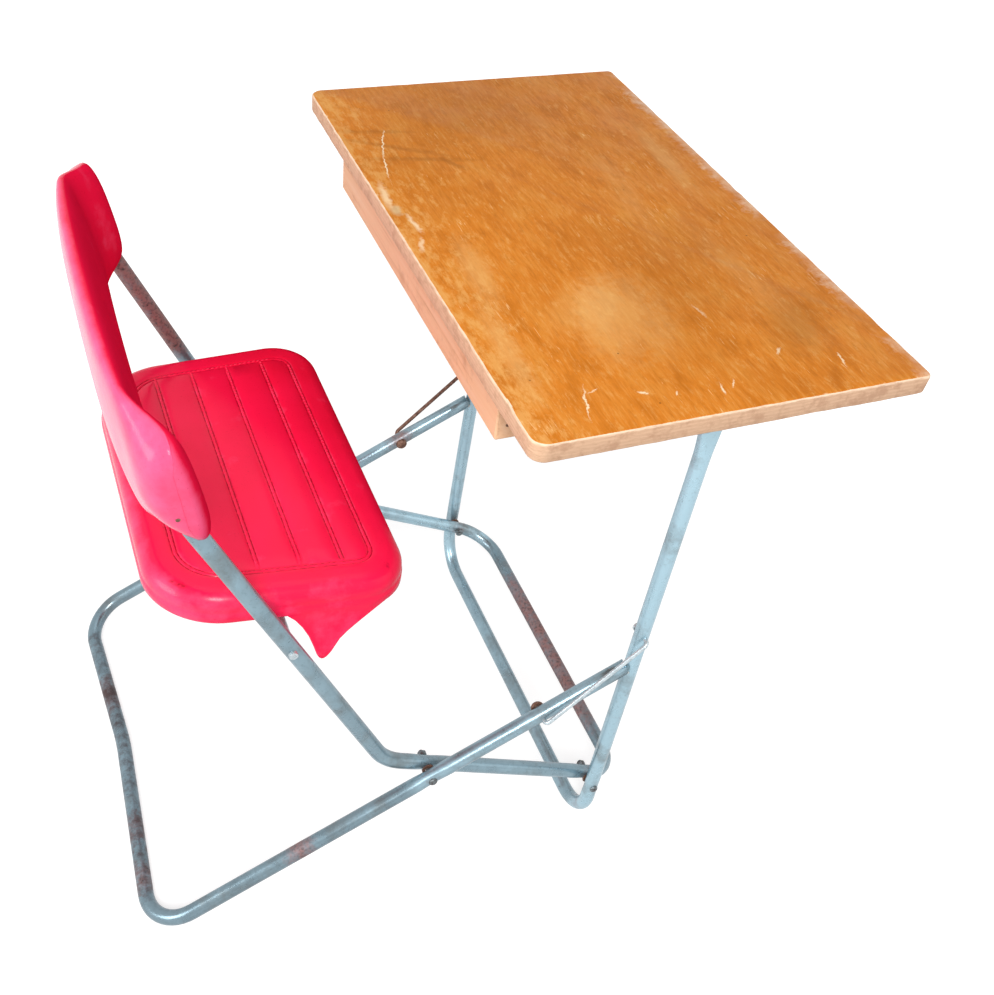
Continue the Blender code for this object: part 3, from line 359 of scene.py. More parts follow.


# Blow-moulded red polyethylene with a fine leather-like grain: saturated and waxy, with a pale pink painted sheen
# on the faces turned to the light, a deeper red of painted shade, matt, at the seat's front and on the backrest's
# forward face, darker red in the moulded lines and dark specks in the grain.
def red_polyethylene_moulded(tree, finish):
    place = add(tree, "TexCoord").outputs["Object"]
    painted_shade_at, painted_sheen_at, line_dark_at = (
        add(tree, "Attribute", attribute_name=layer).outputs["Fac"] for layer in ("deep", "sunned", "soil")
    )
    cloud = add(tree, "TexNoise", {"Vector": place, "Scale": 1 / 0.06, "Detail": 4.0})
    # Painted shade, broken a little by clouds.
    deep = add(tree, "Math", {0: cloud, 1: 0.6, 2: painted_shade_at}, operation="MULTIPLY_ADD")
    deep = add(tree, "MapRange", {0: deep, 1: 0.24, 2: 1.24})
    tone = add(tree, "Mix", {0: deep, MIX_A: finish.red[:], MIX_B: finish.red_deep[:]}, data_type="RGBA")
    streak = add(tree, "TexNoise", {"Vector": place, "Scale": 1 / 0.024, "Detail": 6.0, "Roughness": 0.6})
    # Painted sheen, broken into streaks.
    sunned = add(tree, "Math", {0: streak, 1: 0.5, 2: painted_sheen_at}, operation="MULTIPLY_ADD")
    sunned = add(tree, "MapRange", {0: sunned, 1: 0.32, 2: 1.22})
    tone = add(tree, "Mix", {0: sunned, MIX_A: tone, MIX_B: finish.red_sunned[:]}, data_type="RGBA")
    # Darker in the moulded lines, broken by fine noise.
    thread = add(tree, "TexNoise", {"Vector": place, "Scale": 1 / 0.0032, "Detail": 2.0})
    broken = add(tree, "MapRange", {0: thread, 1: 0.36, 2: 0.58, 3: 0.25})
    soil = add(tree, "Math", {0: line_dark_at, 1: broken}, operation="MULTIPLY")
    tone = add(tree, "Mix", {0: soil, MIX_A: tone, MIX_B: finish.red_soiled[:]}, data_type="RGBA")
    grain = add(tree, "TexNoise", {"Vector": place, "Scale": 1 / 0.0018, "Detail": 3.0, "Roughness": 0.6})
    dirt = add(tree, "ValToRGB", {0: grain}, ((0.26, (0.72, 0.5, 0.5, 1.0)), (0.38, WHITE)))
    tone = add(tree, "Mix", {0: 0.6, MIX_A: tone, MIX_B: dirt}, data_type="RGBA", blend_type="MULTIPLY")
    rough = add(tree, "MapRange", {0: streak, 1: 0.3, 2: 0.7, 3: 0.17, 4: 0.27})
    shine = add(tree, "MapRange", {0: painted_shade_at, 2: 0.28, 3: 0.17, 4: 0.0})
    bump = add(tree, "Bump", {"Strength": 0.14, "Distance": 0.0002, "Height": grain})
    return {"Base Color": tone, "Roughness": rough, "Normal": bump, "IOR": 1.51, "Specular IOR Level": shine}


# Pale moulded polyethylene of the plugs: milky, slightly yellowed, with grey handling marks.
def pale_polyethylene_moulded(tree, finish):
    place = add(tree, "TexCoord").outputs["Object"]
    marks = add(tree, "TexNoise", {"Vector": place, "Scale": 1 / 0.004, "Detail": 4.0})
    tone = add(tree, "ValToRGB", {0: marks}, ((0.30, linear("#A7A297")), (0.48, finish.plug[:])))
    return {"Base Color": tone, "Roughness": 0.42}


# Marks on the varnish, on the board's own axes in metres: along the depth, across, turn in degrees, half
# length along the turned axis, half width, how strong, how soft its edge is, and its tone.
BOARD_MARKS = (
    (-0.040, -0.160, 62.0, 0.066, 0.034, 0.36, 0.40, "pale"),
    (-0.052, -0.146, 62.0, 0.040, 0.018, 0.30, 0.40, "pale"),
    (-0.012, -0.186, 64.0, 0.040, 0.012, 0.22, 0.70, "pale"),
    (-0.070, -0.136, 50.0, 0.040, 0.014, 0.20, 0.70, "pale"),
    (-0.128, 0.160, -30.0, 0.046, 0.0036, 0.40, 0.70, "dark"),
    (-0.112, 0.132, -12.0, 0.040, 0.0036, 0.40, 0.70, "dark"),
    (-0.136, 0.196, -10.0, 0.034, 0.0034, 0.36, 0.70, "dark"),
    (-0.084, 0.118, -62.0, 0.016, 0.0034, 0.40, 0.50, "dark"),
    (-0.137, 0.172, 72.0, 0.027, 0.0008, 0.90, 0.30, "white"),
    (-0.149, 0.124, 79.0, 0.024, 0.0009, 0.90, 0.30, "white"),
    (-0.166, 0.042, 80.0, 0.009, 0.0050, 0.60, 0.40, "grey"),
    (-0.168, 0.070, 84.0, 0.022, 0.0034, 0.50, 0.50, "white"),
    (-0.158, 0.016, 96.0, 0.016, 0.0022, 0.60, 0.50, "white"),
    (-0.163, -0.018, 70.0, 0.012, 0.0020, 0.50, 0.50, "white"),
    (-0.132, -0.070, 85.0, 0.052, 0.012, 0.36, 0.50, "pale"),
    (-0.150, -0.185, 88.0, 0.060, 0.010, 0.40, 0.50, "pale"),
    (0.060, 0.020, 84.0, 0.075, 0.012, 0.20, 0.70, "pale"),
    (0.100, -0.130, 95.0, 0.080, 0.013, 0.20, 0.70, "pale"),
    (0.134, 0.090, 86.0, 0.070, 0.010, 0.34, 0.50, "pale"),
    (-0.118, -0.262, 74.0, 0.018, 0.0008, 0.80, 0.40, "white"),
    (-0.106, -0.250, 16.0, 0.006, 0.0008, 0.60, 0.40, "white"),
    (-0.070, -0.262, -30.0, 0.004, 0.0014, 0.80, 0.35, "white"),
    (-0.044, -0.268, 50.0, 0.003, 0.0010, 0.70, 0.35, "white"),
    (-0.006, -0.272, 82.0, 0.007, 0.0010, 0.75, 0.35, "white"),
    (0.006, -0.268, 64.0, 0.006, 0.0009, 0.65, 0.35, "white"),
    (0.112, -0.262, 82.0, 0.010, 0.0010, 0.70, 0.35, "white"),
    (0.066, -0.238, 40.0, 0.004, 0.0012, 0.60, 0.35, "white"),
    (0.030, -0.170, 100.0, 0.010, 0.0012, 0.45, 0.45, "white"),
    (0.020, -0.150, 60.0, 0.110, 0.050, 0.20, 0.60, "dark"),
    (0.104, -0.206, 60.0, 0.046, 0.026, 0.34, 0.50, "dark"),
    (-0.060, 0.210, 40.0, 0.120, 0.070, 0.22, 0.60, "dark"),
)
MARK_TONES = {"pale": "#E0AE6C", "white": "#F7E3BE", "grey": "#C9B58E", "dark": "#8C5318"}
MARK_SHAKE = 0.011

# Short flecks of worn varnish: turn in degrees, width, length and how rare they are.
FLECKS = ((4.0, 0.0016, 0.018, 0.92), (60.0, 0.0011, 0.012, 1.02), (-34.0, 0.0011, 0.010, 1.02))


def board_place(tree):
    """Object coordinates turned and moved to the board's own axes, from the middle of its surface."""
    return add(tree, "Mapping", {
        "Vector": add(tree, "TexCoord").outputs["Object"], "Location": BOARD_TOP[:],
        "Rotation": (0.0, -BOARD_SLOPE, 0.0),
    }, vector_type="TEXTURE")


def marked(tree, place, tone):
    """The board's tone with each mark laid over it, its outline shaken and broken by noise."""
    ragged = add(tree, "TexNoise", {"Vector": place, "Scale": 1 / 0.009, "Detail": 7.0, "Roughness": 0.7})
    shaken = add(tree, "VectorMath", {
        0: ragged.outputs["Color"], 1: (MARK_SHAKE, MARK_SHAKE, 0.0), 2: place,
    }, operation="MULTIPLY_ADD")
    for along, across, turn, half_length, half_width, strength, soft, mark_tone in BOARD_MARKS:
        spot = add(tree, "Mapping", {
            "Vector": shaken, "Location": (along + MARK_SHAKE / 2, across + MARK_SHAKE / 2, 0.0),
            "Rotation": (0.0, 0.0, math.radians(turn)), "Scale": (half_length, half_width, 1.0),
        }, vector_type="TEXTURE")
        flat = add(tree, "VectorMath", {0: spot, 1: (1.0, 1.0, 0.0)}, operation="MULTIPLY")
        away = add(tree, "VectorMath", {0: flat}, operation="LENGTH")
        broken = add(tree, "Math", {0: ragged, 1: 1.4, 2: away}, operation="MULTIPLY_ADD")
        share = add(tree, "MapRange", {0: broken, 1: 1.6 + soft, 2: 1.6 - soft, 4: strength})
        over = linear(MARK_TONES[mark_tone])
        tone = add(tree, "Mix", {0: share, MIX_A: tone, MIX_B: over}, data_type="RGBA")
    return tone


# Birch veneer under amber varnish: cloudy gold with fine grain across the desk, short pale flecks where the
# varnish has gone, scratches, larger rubbed and stained places, and bare wood along the worn edges.
def birch_veneer_varnished(tree, finish, half_depth, half_width):
    place = board_place(tree)
    apart = add(tree, "SeparateXYZ", {0: place}).outputs
    dark, pale = finish.varnish_dark[:], finish.varnish_pale[:]
    cloud_place = add(tree, "Mapping", {"Vector": place, "Scale": (1 / 0.026, 1 / 0.060, 1.0)})
    cloud = add(tree, "TexNoise", {
        "Vector": cloud_place, "Scale": 1.0, "Detail": 8.0, "Roughness": 0.62, "Distortion": 0.3,
    })
    stops = ((0.30, dark), (0.48, finish.varnish[:]), (0.74, linear("#D48B3A")))
    tone = add(tree, "ValToRGB", {0: cloud}, stops)
    broad = add(tree, "TexNoise", {"Vector": place, "Scale": 1 / 0.14, "Detail": 2.0})
    mottle_place = add(tree, "Mapping", {"Vector": place, "Scale": (1 / 0.0042, 1 / 0.024, 1.0)})
    mottle = add(tree, "TexNoise", {"Vector": mottle_place, "Scale": 1.0, "Detail": 8.0, "Roughness": 0.7})
    grain_place = add(tree, "Mapping", {"Vector": place, "Scale": (1 / 0.0017, 1 / 0.034, 1.0)})
    grain = add(tree, "TexNoise", {"Vector": grain_place, "Scale": 1.0, "Detail": 4.0, "Roughness": 0.6})
    worn = add(tree, "TexNoise", {"Vector": cloud_place, "Scale": 2.6, "Detail": 9.0, "Roughness": 0.74})
    to_child = add(tree, "MapRange", {0: apart["X"], 1: -half_depth, 2: 0.06 - half_depth, 3: 0.13, 4: 0.0})
    worn = add(tree, "Math", {0: worn, 1: to_child}, operation="ADD")
    for value, low, high, most, over in (
        (broad, 0.48, 0.68, 0.45, dark), (mottle, 0.49, 0.32, 0.55, linear("#AC6218")),
        (mottle, 0.53, 0.70, 0.55, pale), (grain, 0.46, 0.26, 0.34, linear("#A05A18")),
        (grain, 0.54, 0.76, 0.30, pale), (worn, 0.56, 0.68, 0.60, pale),
    ):
        share = add(tree, "MapRange", {0: value, 1: low, 2: high, 4: most})
        tone = add(tree, "Mix", {0: share, MIX_A: tone, MIX_B: over}, data_type="RGBA")
    where = add(tree, "TexNoise", {"Vector": place, "Scale": 1 / 0.05, "Detail": 3.0})
    for turn, width, run, least in FLECKS:
        fleck_place = add(tree, "Mapping", {
            "Vector": place, "Rotation": (0.0, 0.0, math.radians(turn)), "Scale": (1 / width, 1 / run, 1.0),
        })
        flecks = add(tree, "TexNoise", {
            "Vector": fleck_place, "Scale": 1.0, "Detail": 4.0, "Roughness": 0.6, "Distortion": 0.6,
        })
        share = add(tree, "Math", {0: where, 1: 0.5, 2: flecks}, operation="MULTIPLY_ADD")
        share = add(tree, "MapRange", {0: share, 1: least, 2: least + 0.10, 4: 0.55})
        tone = add(tree, "Mix", {0: share, MIX_A: tone, MIX_B: linear("#F0C98E")}, data_type="RGBA")
    tone = marked(tree, place, tone)
    spots = add(tree, "TexVoronoi", {"Vector": place, "Scale": 1 / 0.032})
    specks = add(tree, "MapRange", {0: spots, 1: 0.034, 2: 0.016, 4: 0.7})
    tone = add(tree, "Mix", {0: specks, MIX_A: tone, MIX_B: linear("#5A3414")}, data_type="RGBA")
    rub = add(tree, "TexNoise", {"Vector": place, "Scale": 1 / 0.010, "Detail": 7.0, "Roughness": 0.75})
    to_far = add(tree, "Math", {0: half_depth, 1: apart["X"]}, operation="SUBTRACT")
    far_worn = add(tree, "Math", {0: rub, 1: -0.055, 2: to_far}, operation="MULTIPLY_ADD")
    far_worn = add(tree, "MapRange", {0: far_worn, 1: -0.012, 2: -0.026, 4: 0.7})
    far_gate = add(tree, "MapRange", {0: where, 1: 0.42, 2: 0.60})
    far_worn = add(tree, "Math", {0: far_worn, 1: far_gate}, operation="MULTIPLY")
    tone = add(tree, "Mix", {0: far_worn, MIX_A: tone, MIX_B: linear("#E6C8AE")}, data_type="RGBA")
    inward = []
    for axis, half in (("Y", half_width), ("X", half_depth)):
        away = add(tree, "Math", {0: apart[axis]}, operation="ABSOLUTE")
        inward.append(add(tree, "Math", {0: half, 1: away}, operation="SUBTRACT"))
    nearest = add(tree, "Math", dict(enumerate(inward)), operation="MINIMUM")
    bare = add(tree, "Math", {0: rub, 1: -0.020, 2: nearest}, operation="MULTIPLY_ADD")
    bare = add(tree, "MapRange", {0: bare, 1: -0.0096, 2: -0.0124, 4: 0.75})
    tone = add(tree, "Mix", {0: bare, MIX_A: tone, MIX_B: linear("#EFD3AC")}, data_type="RGBA")
    rough = add(tree, "MapRange", {0: where, 1: 0.3, 2: 0.7, 3: 0.40, 4: 0.56})
    rough = add(tree, "Math", {0: bare, 1: 0.25, 2: rough}, operation="MULTIPLY_ADD")
    bump = add(tree, "Bump", {"Strength": 0.15, "Distance": 0.0002, "Height": grain})
    return {"Base Color": tone, "Roughness": rough, "Normal": bump, "IOR": 1.5, "Specular IOR Level": 0.07}


# Sawn edge of birch plywood: thin pale and darker plies, grey-brown dirt, and a paler chipped upper edge.
def birch_plywood_sawn_edge(tree, finish):
    place = board_place(tree)
    depth = add(tree, "SeparateXYZ", {0: place}).outputs["Z"]
    waver = add(tree, "TexNoise", {"Vector": place, "Scale": 1 / 0.05, "Detail": 3.0})
    ply = add(tree, "Math", {0: waver, 1: 0.0012, 2: depth}, operation="MULTIPLY_ADD")
    ply = add(tree, "Math", {0: ply, 1: 2 * math.pi / 0.0036}, operation="MULTIPLY")
    ply = add(tree, "Math", {0: ply}, operation="SINE")
    ply = add(tree, "MapRange", {0: ply, 1: -1.0, 4: 0.22})
    sawn, soiled = finish.raw_edge[:], finish.raw_edge_dark[:]
    tone = add(tree, "Mix", {0: ply, MIX_A: sawn, MIX_B: soiled}, data_type="RGBA")
    fibre_place = add(tree, "Mapping", {"Vector": place, "Scale": (90.0, 90.0, 900.0)})
    fibre = add(tree, "TexNoise", {"Vector": fibre_place, "Scale": 1.0, "Detail": 5.0, "Roughness": 0.65})
    blotch = add(tree, "TexNoise", {"Vector": place, "Scale": 1 / 0.014, "Detail": 6.0, "Roughness": 0.7})
    chips = add(tree, "Math", {0: fibre, 1: -0.006, 2: depth}, operation="MULTIPLY_ADD")
    for value, low, high, over in (
        (fibre, 0.52, 0.74, "#A9795A"), (blotch, 0.48, 0.62, "#B88A6C"), (chips, -0.0050, -0.0036, "#F6E0C4"),
    ):
        share = add(tree, "MapRange", {0: value, 1: low, 2: high, 4: 0.6})
        tone = add(tree, "Mix", {0: share, MIX_A: tone, MIX_B: linear(over)}, data_type="RGBA")
    bump = add(tree, "Bump", {"Strength": 0.4, "Distance": 0.0003, "Height": fibre})
    return {"Base Color": tone, "Roughness": 0.72, "Normal": bump}


# Planed bare softwood: straight pale grain along the plank, pinkish with age, with brown blotches.
def softwood_planed_bare(tree, finish):
    place = board_place(tree)
    grain_place = add(tree, "Mapping", {"Vector": place, "Scale": (1 / 0.005, 1 / 0.11, 1 / 0.005)})
    grain = add(tree, "TexNoise", {
        "Vector": grain_place, "Scale": 1.0, "Detail": 5.0, "Roughness": 0.6, "Distortion": 0.4,
    })
    stops = ((0.22, finish.bare_wood_dark[:]), (0.44, finish.bare_wood[:]), (0.75, linear("#FACFAB")))
    tone = add(tree, "ValToRGB", {0: grain}, stops)
    blotch = add(tree, "TexNoise", {"Vector": place, "Scale": 1 / 0.030, "Detail": 5.0, "Roughness": 0.65})
    stained = add(tree, "MapRange", {0: blotch, 1: 0.55, 2: 0.70, 4: 0.45})
    tone = add(tree, "Mix", {0: stained, MIX_A: tone, MIX_B: linear("#C08A62")}, data_type="RGBA")
    bump = add(tree, "Bump", {"Strength": 0.3, "Distance": 0.0003, "Height": grain})
    return {"Base Color": tone, "Roughness": 0.62, "Normal": bump}


def piece(name, bm, body, materials, replaced=(), sharp=40.0):
    """Turn a finished bmesh into a piece that rides on a body and stands for CAD nodes."""
    mesh = bpy.data.meshes.new(name)
    bm.to_mesh(mesh)
    bm.free()
    for material in materials:
        mesh.materials.append(material)
    mesh.shade_smooth()
    mesh.set_sharp_from_angle(angle=math.radians(sharp))
    obj = bpy.data.objects.new(name, mesh)
    bpy.context.scene.collection.objects.link(obj)
    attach(obj, body)
    if replaced:
        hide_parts(*replaced)
    return obj


def dress(node, material):
    """Give a carried-over CAD node its material."""
    mesh = frame["nodes"][node].data
    mesh.materials.clear()
    mesh.materials.append(material)


def verts_of(geom):
    """The points in what an operation made."""
    return [item for item in geom if isinstance(item, bmesh.types.BMVert)]


def edges_of(geom):
    """The edges in what an operation made."""
    return [item for item in geom if isinstance(item, bmesh.types.BMEdge)]


def ease(value):
    """A smooth step from 0 to 1."""
    value = min(1.0, max(0.0, value))
    return value * value * (3.0 - 2.0 * value)


def between(start, end, share):
    """A share of the way from start to end."""
    return start + (end - start) * share


def upright_x(z):
    """Where the uprights' axis is at a height."""
    return SEAT_ROD.x + (z - SEAT_ROD.z) * UPRIGHT_ALONG.x / UPRIGHT_ALONG.z


def is_level(edge):
    """Whether an edge's ends are at one height."""
    return abs(edge.verts[0].co.z - edge.verts[1].co.z) < MERGE_DISTANCE


def rounded(bm, edges, width, segments):
    """Round edges off."""
    bmesh.ops.bevel(bm, geom=edges, offset=width, segments=segments, profile=0.5, affect="EDGES", material=-1)


def round_corners(bm, x, radius, segments):
    """Round the two corners of a plan that are at one x."""
    posts = [
        edge for edge in bm.edges
        if all(abs(vert.co.x - x) < MERGE_DISTANCE for vert in edge.verts) and not is_level(edge)
    ]
    rounded(bm, posts, radius, segments)


def cut_evenly(bm, spacing):
    """Divide the level edges into lengths of about a spacing."""
    for edge in [edge for edge in bm.edges if is_level(edge)]:
        cuts = round(edge.calc_length() / spacing) - 1
        if cuts > 0:
            bmesh.ops.subdivide_edges(bm, edges=[edge], cuts=cuts)


def cut_through(bm, where, axis, dist):
    """Cut a whole mesh square to an axis, without taking anything off."""
    geom = bm.verts[:] + bm.edges[:] + bm.faces[:]
    bmesh.ops.bisect_plane(bm, geom=geom, dist=dist, plane_co=AXES[axis] * where, plane_no=AXES[axis])


def ring_at(bm, point, heading, radius, sides):
    """A round loop of edges, square to a heading."""
    turn = heading.to_track_quat("Z", "Y").to_matrix().to_4x4()
    made = bmesh.ops.create_circle(
        bm, cap_ends=False, segments=sides, radius=radius, matrix=Matrix.Translation(point) @ turn
    )
    return list({edge for vert in made["verts"] for edge in vert.link_edges})


def drawn(bm, ring, shift, spacing):
    """Draw a loop along a straight run, with a ring every spacing; gives the last ring."""
    steps = max(1, round(shift.length / spacing))
    for _ in range(steps):
        made = bmesh.ops.extrude_edge_only(bm, edges=ring)["geom"]
        bmesh.ops.translate(bm, vec=shift / steps, verts=verts_of(made))
        ring = edges_of(made)
    return ring


def bent_tube(corners, radii, radius, spacing, sides):
    """A round tube drawn along the corners' lines and spun round each bend."""
    bm = bmesh.new()
    heading = (corners[1] - corners[0]).normalized()
    ring = ring_at(bm, corners[0], heading, radius, sides)
    at = corners[0]
    for before, corner, after, bend in zip(corners, corners[1:], corners[2:], radii):
        inward = (corner - before).normalized()
        outward = (after - corner).normalized()
        turn = inward.angle(outward)
        reach = bend * math.tan(turn / 2)
        start = corner - inward * reach
        ring = drawn(bm, ring, start - at, spacing)
        axis = inward.cross(outward).normalized()
        centre = start + axis.cross(inward) * bend
        steps = max(3, round(bend * turn / spacing), round(turn / BEND_STEP))
        made = bmesh.ops.spin(bm, geom=ring, cent=centre, axis=axis, angle=turn, steps=steps)
        ring = edges_of(made["geom_last"])
        at = corner + outward * reach
    drawn(bm, ring, corners[-1] - at, spacing)
    bmesh.ops.remove_doubles(bm, verts=bm.verts, dist=MERGE_DISTANCE)
    bmesh.ops.recalc_face_normals(bm, faces=bm.faces)
    return bm


def turned(profile, point, side, steps):
    """A turned shape about an axis along Y: the profile is radius and distance outwards from a point."""
    bm = bmesh.new()
    verts = [bm.verts.new((radius, 0.0, out)) for radius, out in profile]
    edges = [bm.edges.new(pair) for pair in zip(verts, verts[1:])]
    bmesh.ops.spin(
        bm, geom=verts + edges, cent=(0, 0, 0), axis=(0, 0, 1), angle=2 * math.pi, steps=steps, use_merge=True
    )
    bmesh.ops.remove_doubles(bm, verts=bm.verts, dist=MERGE_DISTANCE)
    bmesh.ops.recalc_face_normals(bm, faces=bm.faces)
    turn = Matrix.Rotation(math.radians(90.0 if side < 0 else -90.0), 4, "X")
    bmesh.ops.transform(bm, matrix=Matrix.Translation(point) @ turn, verts=bm.verts)
    return bm


def layer_of(bm, name):
    """The layer that a name is painted in."""
    layers = bm.verts.layers.float
    return layers.get(name) or layers.new(name)


def paint(bm, layer_name, spots):
    """Paint how strongly rust or scuffs show: spots are a place, a reach and a strength."""
    layer = layer_of(bm, layer_name)
    for vert in bm.verts:
        for place, reach, strength in spots:
            share = strength * ease(1.0 - (vert.co - place).length / reach)
            vert[layer] = max(vert[layer], share)


def paint_run(bm, layer_name, start, end, reach, strength, fade=None):
    """Paint a straight run of tube. With a fade it comes in over that length from each end."""
    layer = layer_of(bm, layer_name)
    for vert in bm.verts:
        share = geometry.intersect_point_line(vert.co, start, end)[1]
        inward = min(share, 1.0 - share) * (end - start).length
        nearest = start.lerp(end, min(1.0, max(0.0, share)))
        full = strength if fade is None else strength * ease(inward / fade)
        vert[layer] = max(vert[layer], full * ease(2.0 - 2.0 * (vert.co - nearest).length / reach))


def paint_by(bm, layer_name, rule):
    """Paint every point by a rule."""
    layer = layer_of(bm, layer_name)
    for vert in bm.verts:
        vert[layer] = rule(vert)


def sun_bleach(bm, towards, start, full, strength):
    """Paint a pale pink sheen by the way that the plastic faces: painted light, strongest on faces turned towards
    a direction.
    """
    bm.normal_update()
    towards = towards.normalized()
    paint_by(bm, "sunned", lambda vert: strength * ease((vert.normal.dot(towards) - start) / (full - start)))


def press_in(bm, point, along, radius, depth, reach):
    """Press a tube's two flat sides in towards its axis round a pivot."""
    limit = radius * PRESS_WIDTH
    for vert in bm.verts:
        offset = vert.co - point
        if abs(offset.y) > limit:
            continue
        run = offset.dot(along)
        across = (offset - along * run - Vector((0.0, offset.y, 0.0))).length
        if abs(run) < reach and across < limit:
            share = ease(1.0 - abs(run) / reach) * max(0.0, 1.0 - across / limit)
            vert.co.y = point.y + math.copysign(max(abs(offset.y) - depth * share, 0.0), offset.y)


def wall(obj, thickness):
    """Give a shell its wall, on the inside."""
    modifier = obj.modifiers.new("wall", "SOLIDIFY")
    modifier.thickness = thickness
    modifier.offset = -1.0


class DESK_OT_frame_tubes(bpy.types.Operator):
    """Bend the three frame tubes, flatten the leg tops and press in the pivots"""
    bl_idname = "desk.frame_tubes"
    bl_label = "Frame tubes"

    sides = 36
    arm_end = 0.028
    bow_across = 0.02
    upright_end = 0.026
    bright_reach = 0.03
    square_across, square_out = 0.62, 0.42

    def execute(self, context):
        sizes = context.scene.desk_tubes
        radius = sizes.diameter / 2
        self.zinc = finish_of(context, zinc_plated_steel)
        self.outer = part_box("rear_frame_tube")[1].y - radius
        self.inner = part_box("seat_frame_tube")[1].y - radius
        self.rear_frame(sizes, radius)
        self.seat_frame(sizes, radius)
        self.desk_frame(sizes, radius)
        return {"FINISHED"}

    def press_pivot(self, bm, pivot, half, along, sizes):
        """Press the tubes of both sides in round a pivot."""
        for _, side in SIDES:
            point = at_side(pivot, side * half)
            press_in(bm, point, along, sizes.diameter / 2, sizes.pinch, sizes.pinch_reach)

    def keep_bright(self, bm, start, end, y, strength):
        """Paint a straight run of one side that has kept its bright skin."""
        paint_run(bm, "bright", at_side(start, y), at_side(end, y), self.bright_reach, strength)

    def finish_tube(self, name, bm, sizes):
        tube = piece(f"{name}_tubing", bm, name, [self.zinc], [f"{name}_tube"])
        wall(tube, sizes.wall)

    def rear_frame(self, sizes, radius):
        bar = REAR_PIVOT - ARM_ALONG * ((REAR_PIVOT.z - radius) / ARM_ALONG.z)
        bow = bar + Vector((sizes.bar_bow, 0.0, 0.0))
        short = ARM_ON_LEG - ARM_ALONG * self.arm_end
        near, far = -self.outer, self.outer
        corners = [
            at_side(short, near), at_side(bar, near), at_side(bow, self.bow_across),
            at_side(bar, far), at_side(short, far),
        ]
        radii = (sizes.foot_bend, sizes.bow_radius, sizes.foot_bend)
        bm = bent_tube(corners, radii, radius, sizes.ring_spacing, self.sides)
        self.saddle_ends(bm, radius + sizes.saddle_lip)
        self.press_pivot(bm, REAR_PIVOT, far, ARM_ALONG, sizes)
        paint(bm, "rust", [
            (at_side(REAR_PIVOT - ARM_ALONG * 0.150, near), 0.034, 0.62),
            (at_side(bar, near * 0.45), 0.060, 0.40),
            (at_side(bar, near * 0.72), 0.044, 0.50),
            (at_side(bar, far * 0.40), 0.060, 0.48),
            (at_side(REAR_PIVOT, near), 0.022, 0.40),
            (at_side(REAR_PIVOT, far), 0.030, 0.45),
            (at_side(ARM_PIN, far), 0.034, 0.55),
        ])
        paint(bm, "scuff", [
            (at_side(bar, far * 0.40) + Vector((0.006, 0.0, 0.006)), 0.044, 0.58),
            (at_side(bar, far * 0.20) + Vector((0.006, 0.0, 0.006)), 0.034, 0.52),
            (at_side(bar, near * 0.60) + Vector((0.004, 0.0, 0.008)), 0.016, 0.50),
        ])
        paint_run(bm, "scuff", at_side(bar, near), at_side(bar, far), 0.034, 0.37, 0.05)
        self.keep_bright(bm, REAR_PIVOT, ARM_ON_LEG, near, 0.35)
        self.keep_bright(bm, REAR_PIVOT, ARM_ON_LEG, far, 0.40)
        self.finish_tube("rear_frame", bm, sizes)

    def saddle_ends(self, bm, saddle_radius):
        """Shape both arm ends to the legs that they rest on."""
        run = ARM_ALONG - LEG_ALONG * ARM_ALONG.dot(LEG_ALONG)
        for vert in bm.verts:
            if not vert.is_boundary:
                continue
            side = math.copysign(self.outer, vert.co.y)
            start = vert.co - at_side(ARM_ON_LEG, side)
            start -= LEG_ALONG * start.dot(LEG_ALONG)
            b = start.dot(run)
            c = start.length_squared - saddle_radius ** 2
            vert.co += ARM_ALONG * ((-b - math.sqrt(b * b - run.length_squared * c)) / run.length_squared)

    def seat_frame(self, sizes, radius):
        front_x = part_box("seat_frame_tube")[1].x - radius
        front = FRONT_PIVOT - STRETCHER_ALONG * ((front_x - FRONT_PIVOT.x) / -STRETCHER_ALONG.x)
        top = BACK_SCREW + UPRIGHT_ALONG * self.upright_end
        near, far = -self.inner, self.inner
        corners = [at_side(point, near) for point in (top, SIDE_BEND, front)]
        corners += [at_side(point, far) for point in (front, SIDE_BEND, top)]
        radii = (sizes.side_bend, sizes.foot_bend, sizes.foot_bend, sizes.side_bend)
        bm = bent_tube(corners, radii, radius, sizes.ring_spacing, self.sides)
        for pivot in (REAR_PIVOT, FRONT_PIVOT):
            self.press_pivot(bm, pivot, far, STRETCHER_ALONG, sizes)
        paint_run(bm, "rust", at_side(front, near * 0.98), at_side(front, far * 0.86), 0.030, 0.58, 0.11)
        paint_run(bm, "rust", at_side(BACK_SCREW, far), at_side(SEAT_ROD, far), 0.030, 0.66, 0.05)
        paint(bm, "rust", [
            (at_side(FRONT_PIVOT, far), 0.022, 0.45),
            (at_side(FRONT_PIVOT, near), 0.022, 0.45),
            (at_side(REAR_PIVOT, far), 0.022, 0.45),
            (at_side(REAR_PIVOT, near), 0.014, 0.45),
        ])
        self.keep_bright(bm, SIDE_BEND, front, far, 1.0)
        self.keep_bright(bm, SIDE_BEND, front, near, 0.26)
        self.keep_bright(bm, BACK_SCREW, SIDE_BEND, near, 0.22)
        paint(bm, "scuff", [
            (at_side(FRONT_PIVOT + STRETCHER_ALONG * 0.012, near), 0.012, 0.55),
            (at_side(REAR_PIVOT, near), 0.010, 0.60),
            (at_side(front, far * 0.84), 0.012, 0.45),
            (at_side(front, far * 0.72), 0.009, 0.50),
        ])
        self.finish_tube("seat_frame", bm, sizes)

